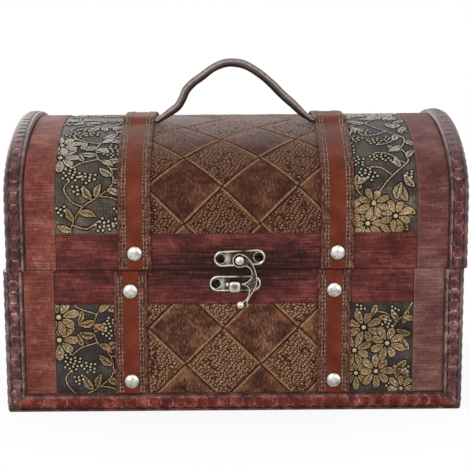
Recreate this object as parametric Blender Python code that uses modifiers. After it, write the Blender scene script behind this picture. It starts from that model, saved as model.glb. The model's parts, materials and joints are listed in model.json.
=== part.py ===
"""Domed wooden keepsake box: a tray and a barrel-top lid on stop hinges.

Boards carry wooden battens and embossed leather, beaded trims cover the edges, two straps
run over the box, a swing hook closes it and a rolled leather handle stands on the lid.

Frame: +X to the box's right, +Y to its back, +Z up, origin under the middle of the base.
All lengths are in metres and all angles in degrees.
"""

import math

import bmesh
import bpy
from mathutils import Matrix, Vector

# Overall sizes
BOX_WIDTH = 0.250
BOX_DEPTH = 0.172
TRAY_HEIGHT = 0.0795
LID_STRAIGHT_RISE = 0.039
LID_DOME_RISE = 0.0369
LID_SIDEWAYS = 0.0016
SEAM_GAP = 0.0004
SEAT_GAP = 0.0003
OVERRUN = 0.002

# Boards and cladding, counted inwards from the outer faces of the edge trims
BOARD_THICKNESS = 0.006
FLOOR_THICKNESS = 0.006
BOARD_INSET = 0.003
BATTEN_THICKNESS = 0.001
BATTEN_BEVEL = 0.0003
LEATHER_THICKNESS = 0.0008
STILE_WIDTH = 0.0165
TRAY_RAIL_HEIGHT = 0.0188
LID_RAIL_HEIGHT = 0.0195
TRIM_WIDTH = 0.0098
TRIM_EDGE_RADIUS = 0.0014

# Straps and rivets
STRAP_WIDTH = 0.018
STRAP_THICKNESS = 0.0014
TRAY_STRAP_LEFT_X = -0.226 * BOX_WIDTH
TRAY_STRAP_RIGHT_X = 0.2184 * BOX_WIDTH
LID_STRAP_LEFT = 0.2216 * BOX_WIDTH
LID_STRAP_RIGHT = 0.2188 * BOX_WIDTH
RIVET_RADIUS = 0.0042
RIVET_RISE = 0.0020
TRAY_RIVET_DROP = 0.0111
TRAY_RIVET_LIFT = 0.0175
LID_RIVET_LIFT = 0.0094

# Handle
HANDLE_RADIUS = 0.0024
HANDLE_END_RADIUS = 0.0013
HANDLE_Y = -0.024
HANDLE_RISE = 0.0334
HANDLE_END_LENGTH = 0.011
HANDLE_SWELL_LENGTH = 0.0095
TUNNEL_HALF_LENGTH = 0.008

# Swing hook latch, placed on the front
LATCH_PLATE_LENGTH = 0.0278
LATCH_PLATE_WIDTH = 0.0086
LATCH_PLATE_THICKNESS = 0.0009
LATCH_RIM = 0.0003
LATCH_RIM_WIDTH = 0.0006
LATCH_HOLE_SPACING = 0.0208
LATCH_HOLE_RADIUS = 0.0021
LATCH_RUNNING_GAP = 0.0003
HOOK_PLATE_TILT = 2.4
HOOK_PLATE_LIFT = 0.0010
HOOK_PIVOT_X = 0.0031
HOOK_PIVOT_LIFT = 0.0053
HOOK_PIVOT_RADIUS = 0.0015
HOOK_RIVET_RADIUS = 0.0026
HOOK_RIVET_HEIGHT = 0.0010
HOOK_RING_RADIUS = 0.0040
HOOK_LENGTH = 0.0275
HOOK_REACH = 0.0098
HOOK_THICKNESS = 0.0015
HOOK_TAIL_BEND = 0.0037
HOOK_BALL_RADIUS = 0.0026
HOOK_BALL_DEPTH = 0.0029
CATCH_PLATE_X = 0.00065
CATCH_PLATE_DROP = 0.0074
CATCH_STUD_X = 0.0003
CATCH_STUD_DROP = 0.0087
CATCH_NECK_RADIUS = 0.0014
CATCH_HEAD_WIDTH = 0.0061
CATCH_HEAD_THICKNESS = 0.0013

# Stop hinges on the back
HINGE_X = 0.328 * BOX_WIDTH
HINGE_WIDTH = 0.020
HINGE_LEAF_HEIGHT = 0.012
HINGE_LEAF_THICKNESS = 0.0008
HINGE_KNUCKLE_RADIUS = 0.0019
HINGE_SIDE_KNUCKLE = 0.006
HINGE_PIN_RADIUS = 0.0007
HINGE_PIN_CLEARANCE = 0.0002
HINGE_PIN_HEAD = 0.0005
HINGE_HOLE_RADIUS = 0.0011
LID_OPEN_ANGLE = 105.0
STOP_FACE_GAP = 0.0001
STOP_INNER_REACH = 0.0029
STOP_OUTER_REACH = 0.0046

# Facets
DOME_STEPS = 24
HOLE_STEPS = 16
RIVET_STEPS = 20
TRIM_EDGE_STEPS = 2
PILLOW_STEPS = 3
OUTLINE_STEPS = 3
HANDLE_STEPS = 3
TAIL_BEND_CUTS = 5
BALL_SEGMENTS = 14
BALL_RINGS = 8
FLAT_ANGLE = 0.05
SHARP_ANGLE = 40.0

# Sizes that follow from the ones above
LID_BOTTOM = TRAY_HEIGHT + SEAM_GAP
LID_SPRINGING = LID_BOTTOM + LID_STRAIGHT_RISE
SEAT_INSET = BOARD_INSET - SEAT_GAP
BATTEN_INSET = SEAT_INSET - BATTEN_THICKNESS
LEATHER_INSET = SEAT_INSET - LEATHER_THICKNESS
STRAP_BACK_INSET = BATTEN_INSET - SEAT_GAP
STRAP_FACE_INSET = STRAP_BACK_INSET - STRAP_THICKNESS
TRIM_EDGE = TRIM_WIDTH + SEAT_GAP
BATTEN_EDGE_X = BOX_WIDTH / 2 - TRIM_EDGE
FIELD_EDGE_X = BATTEN_EDGE_X - STILE_WIDTH - SEAT_GAP
TRAY_RAIL_BOTTOM = TRAY_HEIGHT - TRAY_RAIL_HEIGHT
LID_RAIL_TOP = LID_BOTTOM + LID_RAIL_HEIGHT
LATCH_BACK_INSET = BATTEN_INSET - SEAT_GAP
LATCH_FLOOR_INSET = LATCH_BACK_INSET - LATCH_PLATE_THICKNESS
LATCH_FACE_INSET = LATCH_FLOOR_INSET - LATCH_RIM
HOOK_BACK_INSET = LATCH_FACE_INSET - LATCH_RUNNING_GAP
HOOK_FACE_INSET = HOOK_BACK_INSET - HOOK_THICKNESS
LATCH_HEAD_INSET = HOOK_FACE_INSET - LATCH_RUNNING_GAP
HOOK_PIVOT_Z = LID_BOTTOM + HOOK_PIVOT_LIFT
CATCH_STUD_Z = TRAY_HEIGHT - CATCH_STUD_DROP
HINGE_Y = BOX_DEPTH / 2 - BATTEN_INSET + SEAT_GAP + HINGE_KNUCKLE_RADIUS
HINGE_Z = (TRAY_HEIGHT + LID_BOTTOM) / 2
HINGE_MIDDLE_KNUCKLE = HINGE_WIDTH - 2 * HINGE_SIDE_KNUCKLE - 2 * SEAT_GAP
KNUCKLE_NOTCH = HINGE_KNUCKLE_RADIUS + SEAT_GAP
TUNNEL_RISE = 2 * (SEAT_GAP + HANDLE_END_RADIUS) - (LEATHER_INSET - STRAP_BACK_INSET)
HANDLE_X = LID_SIDEWAYS + (LID_STRAP_RIGHT - LID_STRAP_LEFT) / 2
HANDLE_HALF_SPAN = (LID_STRAP_LEFT + LID_STRAP_RIGHT - STRAP_WIDTH) / 2

# Where the raised part of a strap is sampled, along half its length. A crown power below
# 1 keeps the top of that raised part broad.
BUMP_SAMPLE_SHARES = (-1.0, -0.7, -0.45, -0.2, 0.0, 0.2, 0.45, 0.7, 1.0)
SAMPLE_MARGIN_SHARE = 0.4
TUNNEL_CROWN_POWER = 0.6

# Places on the latch and the hinges, along the size that each follows
CATCH_HEAD_ROUND_SHARE = 0.48
TAIL_BEND_START_SHARE = 0.58
TAIL_BEND_END_SHARE = 0.80
TAIL_BALL_X_SHARE = 0.14
TAIL_BALL_Z_SHARE = 0.90
HINGE_HOLE_SHARE = 0.62

# Handle centreline from the left strap to the right one: along the half span, and up
HANDLE_PATH_SHARES = (
    (-0.985, 0.0),
    (-0.92, 0.045),
    (-0.82, 0.14),
    (-0.71, 0.25),
    (-0.65, 0.38),
    (-0.60, 0.53),
    (-0.52, 0.65),
    (-0.41, 0.76),
    (-0.26, 0.91),
    (-0.11, 0.99),
    (0.03, 0.99),
    (0.15, 0.945),
    (0.31, 0.81),
    (0.46, 0.635),
    (0.60, 0.44),
    (0.73, 0.28),
    (0.85, 0.12),
    (0.93, 0.04),
    (0.985, 0.0),
)

# Hook outline below its ring, clockwise from the ring's right side: along the reach, and down
# the length. True marks a sharp corner.
HOOK_OUTLINE_SHARES = (
    (0.62, -0.02, False),
    (0.95, -0.26, False),
    (1.00, -0.42, False),
    (0.94, -0.54, False),
    (0.78, -0.65, False),
    (0.48, -0.76, False),
    (0.41, -0.86, False),
    (0.44, -0.93, False),
    (0.16, -1.00, False),
    (-0.15, -0.93, False),
    (-0.13, -0.83, False),
    (0.17, -0.79, False),
    (0.38, -0.71, False),
    (0.51, -0.60, False),
    (0.43, -0.55, True),
    (0.12, -0.515, True),
    (0.46, -0.42, False),
    (0.62, -0.36, False),
    (0.66, -0.25, False),
    (0.56, -0.16, False),
)


def collection_named(name, hidden=False):
    """A new collection in the scene."""
    collection = bpy.data.collections.new(name)
    collection.hide_render = hidden
    bpy.context.scene.collection.children.link(collection)
    return collection


def principled(name, colour, roughness, metallic=0.0):
    """A material with one Principled BSDF."""
    material = bpy.data.materials.new(name)
    material.use_nodes = True
    material.diffuse_color = (*colour, 1.0)
    shader = material.node_tree.nodes["Principled BSDF"]
    shader.inputs["Base Color"].default_value = (*colour, 1.0)
    shader.inputs["Roughness"].default_value = roughness
    shader.inputs["Metallic"].default_value = metallic
    return material


def clear_scene():
    """Removes every object that the file opened with."""
    for old in list(bpy.data.objects):
        bpy.data.objects.remove(old)


clear_scene()
BOX_COLLECTION = collection_named("keepsake_box")
CUTTER_COLLECTION = collection_named("cutters", hidden=True)

BOARD = principled("bare_board", (0.32, 0.20, 0.11), 0.7)
BATTEN = principled("red_brown_batten", (0.17, 0.035, 0.025), 0.42)
LATTICE_LEATHER = principled("lattice_leather", (0.12, 0.055, 0.022), 0.5)
FLORAL_LEATHER = principled("floral_leather", (0.09, 0.075, 0.055), 0.45)
TRIM_LEATHER = principled("maroon_trim", (0.10, 0.018, 0.014), 0.45)
STRAP_LEATHER = principled("tan_strap", (0.20, 0.055, 0.022), 0.4)
HANDLE_LEATHER = principled("dark_handle_leather", (0.07, 0.045, 0.038), 0.45)
NICKEL = principled("nickel", (0.75, 0.74, 0.72), 0.25, 1.0)
AGED_SILVER = principled("aged_silver", (0.48, 0.45, 0.40), 0.35, 1.0)
BRASS = principled("aged_brass", (0.42, 0.32, 0.16), 0.35, 1.0)


def add_object(name, data, material, parent=None):
    """An object in the box's collection that keeps its place under its parent."""
    piece = bpy.data.objects.new(name, data)
    BOX_COLLECTION.objects.link(piece)
    data.materials.append(material)
    if parent is not None:
        hold(piece, parent)
    return piece


def hold(piece, parent):
    """Parents a piece to an empty without moving it."""
    piece.parent = parent
    piece.matrix_parent_inverse = parent.matrix_basis.inverted()


def joint_empty(name, location):
    """An empty on a joint's axis."""
    empty = bpy.data.objects.new(name, None)
    empty.location = location
    empty.empty_display_size = BOARD_THICKNESS
    BOX_COLLECTION.objects.link(empty)
    return empty


def make_cutter(piece):
    """Turns an object into a helper that only Booleans use."""
    BOX_COLLECTION.objects.unlink(piece)
    CUTTER_COLLECTION.objects.link(piece)
    piece.hide_render = True
    piece.display_type = "WIRE"
    return piece


def boolean(piece, other, operation):
    """Adds a Boolean with a helper object."""
    modifier = piece.modifiers.new(operation.lower() + "_" + other.name, "BOOLEAN")
    modifier.operation = operation
    modifier.object = make_cutter(other)
    modifier.solver = "EXACT"


def soften_edges(piece, width):
    """Takes the sharpness off every edge that is not flat."""
    bevel = piece.modifiers.new("softened_edges", "BEVEL")
    bevel.width = width
    bevel.segments = 1
    bevel.limit_method = "ANGLE"


def shade_round(mesh):
    """Smooth shading that leaves the edges of the form sharp."""
    mesh.shade_smooth()
    mesh.set_sharp_from_angle(angle=math.radians(SHARP_ANGLE))


def block(name, material, low, high, parent=None, bevel=0.0):
    """A box between two corners, its origin at its middle."""
    size = Vector(high) - Vector(low)
    mesh = bpy.data.meshes.new(name)
    shape = bmesh.new()
    bmesh.ops.create_cube(shape, size=1.0)
    bmesh.ops.scale(shape, vec=size, verts=shape.verts)
    shape.to_mesh(mesh)
    shape.free()
    piece = add_object(name, mesh, material)
    piece.location = (Vector(high) + Vector(low)) / 2
    if parent is not None:
        hold(piece, parent)
    if bevel > 0.0:
        soften_edges(piece, bevel)
    return piece


def cylinder(name, material, radius, length, centre, axis, parent=None, steps=HOLE_STEPS):
    """A cylinder about an axis through its centre, with flats facing up, down and sideways."""
    mesh = bpy.data.meshes.new(name)
    shape = bmesh.new()
    bmesh.ops.create_cone(
        shape, cap_ends=True, segments=steps, radius1=radius, radius2=radius, depth=length
    )
    half_facet = Matrix.Rotation(math.pi / steps, 3, "Z")
    bmesh.ops.rotate(shape, verts=shape.verts, matrix=half_facet)
    shape.to_mesh(mesh)
    shape.free()
    shade_round(mesh)
    piece = add_object(name, mesh, material)
    piece.rotation_euler = Vector((0, 0, 1)).rotation_difference(Vector(axis)).to_euler()
    piece.location = centre
    if parent is not None:
        hold(piece, parent)
    return piece


def outline_curve(name, loops, depth):
    """A flat 2D curve filled on both sides and drawn out along its local Z."""
    curve = bpy.data.curves.new(name, "CURVE")
    curve.dimensions = "2D"
    curve.fill_mode = "BOTH"
    curve.extrude = depth / 2
    curve.resolution_u = OUTLINE_STEPS
    for loop in loops:
        smooth = len(loop[0]) == 3
        spline = curve.splines.new("BEZIER" if smooth else "POLY")
        spline.use_cyclic_u = True
        points = spline.bezier_points if smooth else spline.points
        points.add(len(loop) - 1)
        for point, (x, y, *sharp) in zip(points, loop):
            if smooth:
                point.co = (x, y, 0)
                kind = "VECTOR" if sharp[0] else "AUTO"
                point.handle_left_type = kind
                point.handle_right_type = kind
            else:
                point.co = (x, y, 0, 1)
    return curve


def extruded(name, material, loops, depth, centre, facing, parent=None):
    """A flat outline drawn out to a closed mesh.

    facing "end" lays the outline in the YZ plane and draws it along X, and facing "front"
    lays it in the XZ plane and draws it along Y.
    """
    guide = bpy.data.objects.new(name, outline_curve(name, loops, depth))
    mesh = bpy.data.meshes.new_from_object(guide)
    mesh.name = name
    bpy.data.objects.remove(guide)
    shape = bmesh.new()
    shape.from_mesh(mesh)
    bmesh.ops.remove_doubles(shape, verts=shape.verts, dist=SEAT_GAP / 100)
    bmesh.ops.dissolve_limit(
        shape, angle_limit=math.radians(FLAT_ANGLE), verts=shape.verts, edges=shape.edges
    )
    bmesh.ops.recalc_face_normals(shape, faces=shape.faces)
    shape.to_mesh(mesh)
    shape.free()
    shade_round(mesh)
    piece = add_object(name, mesh, material)
    quarter = math.pi / 2
    piece.rotation_euler = (quarter, 0, quarter) if facing == "end" else (quarter, 0, 0)
    piece.location = centre
    if parent is not None:
        hold(piece, parent)
    return piece


def turned(name, material, profile, steps, centre, axis, parent=None):
    """A profile of (radius, height) points, from the top down, turned about the axis."""
    mesh = bpy.data.meshes.new(name)
    vertices = [(radius, 0, height) for radius, height in profile]
    edges = [(index, index + 1) for index in range(len(profile) - 1)]
    mesh.from_pydata(vertices, edges, [])
    piece = add_object(name, mesh, material)
    screw = piece.modifiers.new("turned", "SCREW")
    screw.steps = steps
    screw.render_steps = steps
    screw.use_merge_vertices = True
    screw.merge_threshold = SEAT_GAP / 100
    piece.rotation_euler = Vector((0, 0, 1)).rotation_difference(Vector(axis)).to_euler()
    piece.location = centre
    if parent is not None:
        hold(piece, parent)
    return piece


def arc_points(centre, radius, start, end, steps):
    """Points on an arc in a plane, its angles in degrees."""
    angles = [math.radians(start + (end - start) * i / steps) for i in range(steps + 1)]
    return [
        (centre[0] + radius * math.cos(angle), centre[1] + radius * math.sin(angle))
        for angle in angles
    ]


def stadium(length, width, steps=HOLE_STEPS // 2):
    """A plate outline with two round ends."""
    radius = width / 2
    reach = length / 2 - radius
    return arc_points((reach, 0), radius, -90, 90, steps) + arc_points(
        (-reach, 0), radius, 90, 270, steps
    )


def dome_height(y, inset):
    """Height of the dome at a depth, this far inside the trims' faces."""
    half = BOX_DEPTH / 2 - inset
    return LID_SPRINGING + (LID_DOME_RISE - inset) * math.sqrt(1 - (y / half) ** 2)


def dome_slope(y, inset):
    """Rise of the dome per length towards the back, at a depth."""
    half = BOX_DEPTH / 2 - inset
    share = y / half
    return -(LID_DOME_RISE - inset) / half * share / math.sqrt(1 - share**2)


def lid_outline(inset, lowest, bump=None):
    """(y, z) points of the lid's section from front edge over the dome to back edge.

    The section is straight up to the springing and half an ellipse above it. A bump is a
    function of y that lifts the dome, sampled closely where it is not zero.
    """
    half = BOX_DEPTH / 2 - inset
    rise = LID_DOME_RISE - inset
    angles = [math.pi * step / DOME_STEPS for step in range(DOME_STEPS + 1)]
    if bump is not None:
        near = [HANDLE_Y + TUNNEL_HALF_LENGTH * share for share in BUMP_SAMPLE_SHARES]
        fine = [math.acos(-y / half) for y in near]
        margin = SAMPLE_MARGIN_SHARE * math.pi / DOME_STEPS
        kept = [a for a in angles if not min(fine) - margin < a < max(fine) + margin]
        angles = sorted(kept + fine)
    points = [(-half, lowest)]
    for angle in angles:
        y = -half * math.cos(angle)
        lift = bump(y) if bump is not None else 0.0
        points.append((y, LID_SPRINGING + rise * math.sin(angle) + lift))
    points.append((half, lowest))
    return points


def strap_bump(y):
    """Rise of the strap where it passes over the handle's end: a raised cosine."""
    share = min(1.0, abs(y - HANDLE_Y) / TUNNEL_HALF_LENGTH)
    return TUNNEL_RISE * (0.5 + 0.5 * math.cos(math.pi * share)) ** TUNNEL_CROWN_POWER


def arch(name, material, outer_inset, inner_inset, left, right, lowest, parent, bump=None):
    """A bent strip over the lid, from its front edge to its back edge."""
    outer = lid_outline(outer_inset, lowest, bump)
    inner = lid_outline(inner_inset, lowest, bump)
    middle = (left + right) / 2
    return extruded(
        name, material, [outer + inner[::-1]], right - left, (middle, 0, 0), "end", parent
    )


def trim_section():
    """L-shaped section of an edge trim, as (p, q) depths from its two outer faces.

    It starts at the middle of the rounded outer edge. The second value is the index of the
    inner corner, where a mitred end is folded.
    """
    radius = TRIM_EDGE_RADIUS
    first = arc_points((radius, radius), radius, 225, 270, TRIM_EDGE_STEPS)
    flange = [*first, (TRIM_WIDTH, 0.0), (TRIM_WIDTH, SEAT_INSET)]
    mirrored = [(q, p) for p, q in flange[:0:-1]]
    return flange + [(SEAT_INSET, SEAT_INSET)] + mirrored, len(flange)


def lofted_bar(name, material, rings, crease, parent=None):
    """Skins a closed section through rings of points, with each end folded at the crease."""
    mesh = bpy.data.meshes.new(name)
    shape = bmesh.new()
    loops = [[shape.verts.new(point) for point in ring] for ring in rings]
    for near, far in zip(loops, loops[1:]):
        for index in range(len(near)):
            following = (index + 1) % len(near)
            shape.faces.new((near[index], near[following], far[following], far[index]))
    for loop in (loops[0], loops[-1]):
        shape.faces.new(loop[: crease + 1])
        shape.faces.new([*loop[crease:], loop[0]])
    bmesh.ops.recalc_face_normals(shape, faces=shape.faces)
    shape.to_mesh(mesh)
    shape.free()
    shade_round(mesh)
    return add_object(name, mesh, material, parent)


def straight_trim(name, start, end, p_axis, q_axis, mitres):
    """An edge trim from one outer corner to another.

    p_axis and q_axis point inwards from its two faces, and mitres says which ends are cut
    back at 45 degrees to meet the other trims of the corner.
    """
    section, crease = trim_section()
    start, end = Vector(start), Vector(end)
    along = (end - start).normalized()
    rings = []
    for corner, mitred, direction in ((start, mitres[0], along), (end, mitres[1], -along)):
        ring = []
        for p, q in section:
            back = max(p, q) + SEAT_GAP / 2 if mitred else 0.0
            ring.append(corner + Vector(p_axis) * p + Vector(q_axis) * q + direction * back)
        rings.append(ring)
    return lofted_bar(name, TRIM_LEATHER, rings, crease)


def tray_boards():
    """Floor, front and back boards, and the end boards between them."""
    half_x = BOX_WIDTH / 2 - BOARD_INSET
    half_y = BOX_DEPTH / 2 - BOARD_INSET
    mesh = bpy.data.meshes.new("tray_floor")
    shape = bmesh.new()
    bmesh.ops.create_cube(shape, size=1.0)
    bmesh.ops.scale(
        shape, vec=(2 * half_x, 2 * half_y, FLOOR_THICKNESS - BOARD_INSET), verts=shape.verts
    )
    bmesh.ops.translate(
        shape, vec=(0, 0, (FLOOR_THICKNESS + BOARD_INSET) / 2), verts=shape.verts
    )
    under = [face for face in shape.faces if face.normal.z < -0.5]
    bmesh.ops.inset_region(
        shape, faces=under, thickness=TRIM_EDGE - BOARD_INSET, use_even_offset=True
    )
    pad = bmesh.ops.extrude_discrete_faces(shape, faces=under)["faces"]
    bmesh.ops.translate(shape, vec=(0, 0, -BOARD_INSET), verts=pad[0].verts)
    shape.to_mesh(mesh)
    shape.free()
    add_object("tray_floor", mesh, BOARD)

    foot = FLOOR_THICKNESS + SEAT_GAP
    inner_y = half_y - BOARD_THICKNESS
    for name, outer, inner in (
        ("tray_front_wall", -half_y, -inner_y),
        ("tray_back_wall", half_y, inner_y),
    ):
        low = (-half_x, min(outer, inner), foot)
        high = (half_x, max(outer, inner), TRAY_HEIGHT)
        block(name, BOARD, low, high)
    for name, side in (("tray_left_wall", -1), ("tray_right_wall", 1)):
        outer = side * half_x
        inner = side * (half_x - BOARD_THICKNESS)
        low = (min(outer, inner), -inner_y + SEAT_GAP, foot)
        high = (max(outer, inner), inner_y - SEAT_GAP, TRAY_HEIGHT)
        block(name, BOARD, low, high)


def face_strip(name, material, side, face_inset, left, right, bottom, top, parent=None):
    """A flat strip on the front (side -1) or back (side 1), seated on the boards."""
    face = side * (BOX_DEPTH / 2 - face_inset)
    seat = side * (BOX_DEPTH / 2 - SEAT_INSET)
    low = (left, min(face, seat), bottom)
    high = (right, max(face, seat), top)
    bevel = BATTEN_BEVEL if material is BATTEN else 0.0
    return block(name, material, low, high, parent, bevel)


def tray_cladding():
    """Battens and leather on the tray's four sides."""
    foot = TRIM_EDGE
    field_top = TRAY_RAIL_BOTTOM - SEAT_GAP
    for name, side in (("tray_front_stile_left", -1), ("tray_front_stile_right", 1)):
        ends = sorted((side * BATTEN_EDGE_X, side * (BATTEN_EDGE_X - STILE_WIDTH)))
        face_strip(name, BATTEN, -1, BATTEN_INSET, *ends, foot, TRAY_HEIGHT)
    face_strip(
        "tray_front_rail",
        BATTEN,
        -1,
        BATTEN_INSET,
        -FIELD_EDGE_X,
        FIELD_EDGE_X,
        TRAY_RAIL_BOTTOM,
        TRAY_HEIGHT,
    )
    joint = SEAT_GAP / 2
    fields = (
        ("tray_front_floral_panel_left", FLORAL_LEATHER, -FIELD_EDGE_X, TRAY_STRAP_LEFT_X - joint),
        (
            "tray_front_lattice_panel",
            LATTICE_LEATHER,
            TRAY_STRAP_LEFT_X + joint,
            TRAY_STRAP_RIGHT_X - joint,
        ),
        ("tray_front_floral_panel_right", FLORAL_LEATHER, TRAY_STRAP_RIGHT_X + joint, FIELD_EDGE_X),
    )
    for name, material, left, right in fields:
        face_strip(name, material, -1, LEATHER_INSET, left, right, foot, field_top)
    face_strip(
        "tray_back_rail",
        BATTEN,
        1,
        BATTEN_INSET,
        -BATTEN_EDGE_X,
        BATTEN_EDGE_X,
        TRAY_RAIL_BOTTOM,
        TRAY_HEIGHT,
    )
    face_strip(
        "tray_back_panel",
        LATTICE_LEATHER,
        1,
        LEATHER_INSET,
        -BATTEN_EDGE_X,
        BATTEN_EDGE_X,
        foot,
        field_top,
    )
    edge_y = BOX_DEPTH / 2 - TRIM_EDGE
    for name, side in (("tray_left_panel", -1), ("tray_right_panel", 1)):
        ends = sorted((side * (BOX_WIDTH / 2 - LEATHER_INSET), side * (BOX_WIDTH / 2 - SEAT_INSET)))
        block(name, LATTICE_LEATHER, (ends[0], -edge_y, foot), (ends[1], edge_y, TRAY_HEIGHT))


def tray_trims():
    """Four upright corner trims and four bottom trims, mitred where three meet."""
    half_x = BOX_WIDTH / 2
    half_y = BOX_DEPTH / 2
    for x_word, x_side in (("left", -1), ("right", 1)):
        for y_word, y_side in (("front", -1), ("back", 1)):
            straight_trim(
                f"corner_trim_{y_word}_{x_word}",
                (x_side * half_x, y_side * half_y, 0),
                (x_side * half_x, y_side * half_y, TRAY_HEIGHT),
                (-x_side, 0, 0),
                (0, -y_side, 0),
                (True, False),
            )
    for word, side in (("front", -1), ("back", 1)):
        straight_trim(
            f"bottom_trim_{word}",
            (-half_x, side * half_y, 0),
            (half_x, side * half_y, 0),
            (0, 0, 1),
            (0, -side, 0),
            (True, True),
        )
    for word, side in (("left", -1), ("right", 1)):
        straight_trim(
            f"bottom_trim_{word}",
            (side * half_x, -half_y, 0),
            (side * half_x, half_y, 0),
            (0, 0, 1),
            (-side, 0, 0),
            (True, True),
        )


def rivet(name, x, z, parent=None):
    """A domed rivet head on a front strap."""
    sweep = arc_points((0, 0), 1.0, 90, 0, RIVET_STEPS // 4)
    profile = [(RIVET_RADIUS * c, RIVET_RISE * s) for c, s in sweep]
    profile[0] = (0.0, RIVET_RISE)
    profile += [(0.0, 0.0)]
    seat = -(BOX_DEPTH / 2 - STRAP_FACE_INSET + SEAT_GAP)
    return turned(name, NICKEL, profile, RIVET_STEPS, (x, seat, z), (0, -1, 0), parent)


def tray_straps():
    """Straps from the tray's top edge to the bottom trim, and the front ones' rivets."""
    half = STRAP_WIDTH / 2
    for x_word, middle in (("left", TRAY_STRAP_LEFT_X), ("right", TRAY_STRAP_RIGHT_X)):
        for y_word, side in (("front", -1), ("back", 1)):
            face = side * (BOX_DEPTH / 2 - STRAP_FACE_INSET)
            back = side * (BOX_DEPTH / 2 - STRAP_BACK_INSET)
            block(
                f"tray_{y_word}_strap_{x_word}",
                STRAP_LEATHER,
                (middle - half, min(face, back), TRIM_EDGE),
                (middle + half, max(face, back), TRAY_HEIGHT),
                bevel=BATTEN_BEVEL,
            )
        rivet(f"tray_rivet_upper_{x_word}", middle, TRAY_HEIGHT - TRAY_RIVET_DROP)
        rivet(f"tray_rivet_lower_{x_word}", middle, TRAY_RIVET_LIFT)


def lid_boards(lid):
    """Bent board over two D-shaped end boards."""
    half_x = BOX_WIDTH / 2 - BOARD_INSET
    inner = BOARD_INSET + BOARD_THICKNESS
    arch(
        "lid_shell",
        BOARD,
        BOARD_INSET,
        inner,
        LID_SIDEWAYS - half_x,
        LID_SIDEWAYS + half_x,
        LID_BOTTOM,
        lid,
    )
    for name, side in (("lid_left_end", -1), ("lid_right_end", 1)):
        middle = LID_SIDEWAYS + side * (half_x - BOARD_THICKNESS / 2)
        outline = lid_outline(inner + SEAT_GAP, LID_BOTTOM)
        extruded(name, BOARD, [outline], BOARD_THICKNESS, (middle, 0, 0), "end", lid)


def lid_cladding(lid):
    """Battens and leather over the lid, and leather on its ends."""
    left, right = LID_SIDEWAYS - FIELD_EDGE_X, LID_SIDEWAYS + FIELD_EDGE_X
    for name, side in (("lid_front_rail", -1), ("lid_back_rail", 1)):
        face_strip(name, BATTEN, side, BATTEN_INSET, left, right, LID_BOTTOM, LID_RAIL_TOP, lid)
    for name, side in (("lid_band_left", -1), ("lid_band_right", 1)):
        edges = sorted((side * BATTEN_EDGE_X, side * (BATTEN_EDGE_X - STILE_WIDTH)))
        arch(
            name,
            BATTEN,
            BATTEN_INSET,
            SEAT_INSET,
            LID_SIDEWAYS + edges[0],
            LID_SIDEWAYS + edges[1],
            LID_BOTTOM,
            lid,
        )
    joint = SEAT_GAP / 2
    strap_left = LID_SIDEWAYS - LID_STRAP_LEFT
    strap_right = LID_SIDEWAYS + LID_STRAP_RIGHT
    fields = (
        ("lid_floral_panel_left", FLORAL_LEATHER, left, strap_left - joint),
        ("lid_lattice_panel", LATTICE_LEATHER, strap_left + joint, strap_right - joint),
        ("lid_floral_panel_right", FLORAL_LEATHER, strap_right + joint, right),
    )
    for name, material, low, high in fields:
        arch(name, material, LEATHER_INSET, SEAT_INSET, low, high, LID_RAIL_TOP + SEAT_GAP, lid)
    outline = lid_outline(TRIM_EDGE, LID_BOTTOM)
    for name, side in (("lid_left_end_panel", -1), ("lid_right_end_panel", 1)):
        middle = LID_SIDEWAYS + side * (BOX_WIDTH / 2 - (LEATHER_INSET + SEAT_INSET) / 2)
        extruded(
            name, LATTICE_LEATHER, [outline], LEATHER_THICKNESS, (middle, 0, 0), "end", lid
        )


def lid_trims(lid):
    """Arch trims that wrap the lid's two end edges."""
    section, crease = trim_section()
    for name, side in (("lid_arch_trim_left", -1), ("lid_arch_trim_right", 1)):
        lanes = [lid_outline(q, LID_BOTTOM) for _, q in section]
        rings = []
        for station in range(len(lanes[0])):
            ring = []
            for lane, (p, _) in zip(lanes, section):
                x = LID_SIDEWAYS + side * (BOX_WIDTH / 2 - p)
                ring.append(Vector((x, *lane[station])))
            rings.append(ring)
        lofted_bar(name, TRIM_LEATHER, rings, crease, lid)


def lid_straps(lid):
    """Straps over the dome, raised over the handle's ends, with one rivet each."""
    half = STRAP_WIDTH / 2
    for word, offset in (("left", -LID_STRAP_LEFT), ("right", LID_STRAP_RIGHT)):
        middle = LID_SIDEWAYS + offset
        arch(
            f"lid_strap_{word}",
            STRAP_LEATHER,
            STRAP_FACE_INSET,
            STRAP_BACK_INSET,
            middle - half,
            middle + half,
            LID_BOTTOM,
            lid,
            strap_bump,
        )
        rivet(f"lid_rivet_{word}", middle, LID_BOTTOM + LID_RIVET_LIFT, lid)


def smooth_path(points, steps):
    """Points on a Catmull-Rom curve through the given ones."""
    path = []
    padded = [points[0], *points, points[-1]]
    for before, start, end, after in zip(padded, padded[1:], padded[2:], padded[3:]):
        for step in range(steps):
            t = step / steps
            path.append(
                (
                    2 * start
                    + (end - before) * t
                    + (2 * before - 5 * start + 4 * end - after) * t**2
                    + (3 * start - before - 3 * end + after) * t**3
                )
                / 2
            )
    return [*path, points[-1]]


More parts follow.
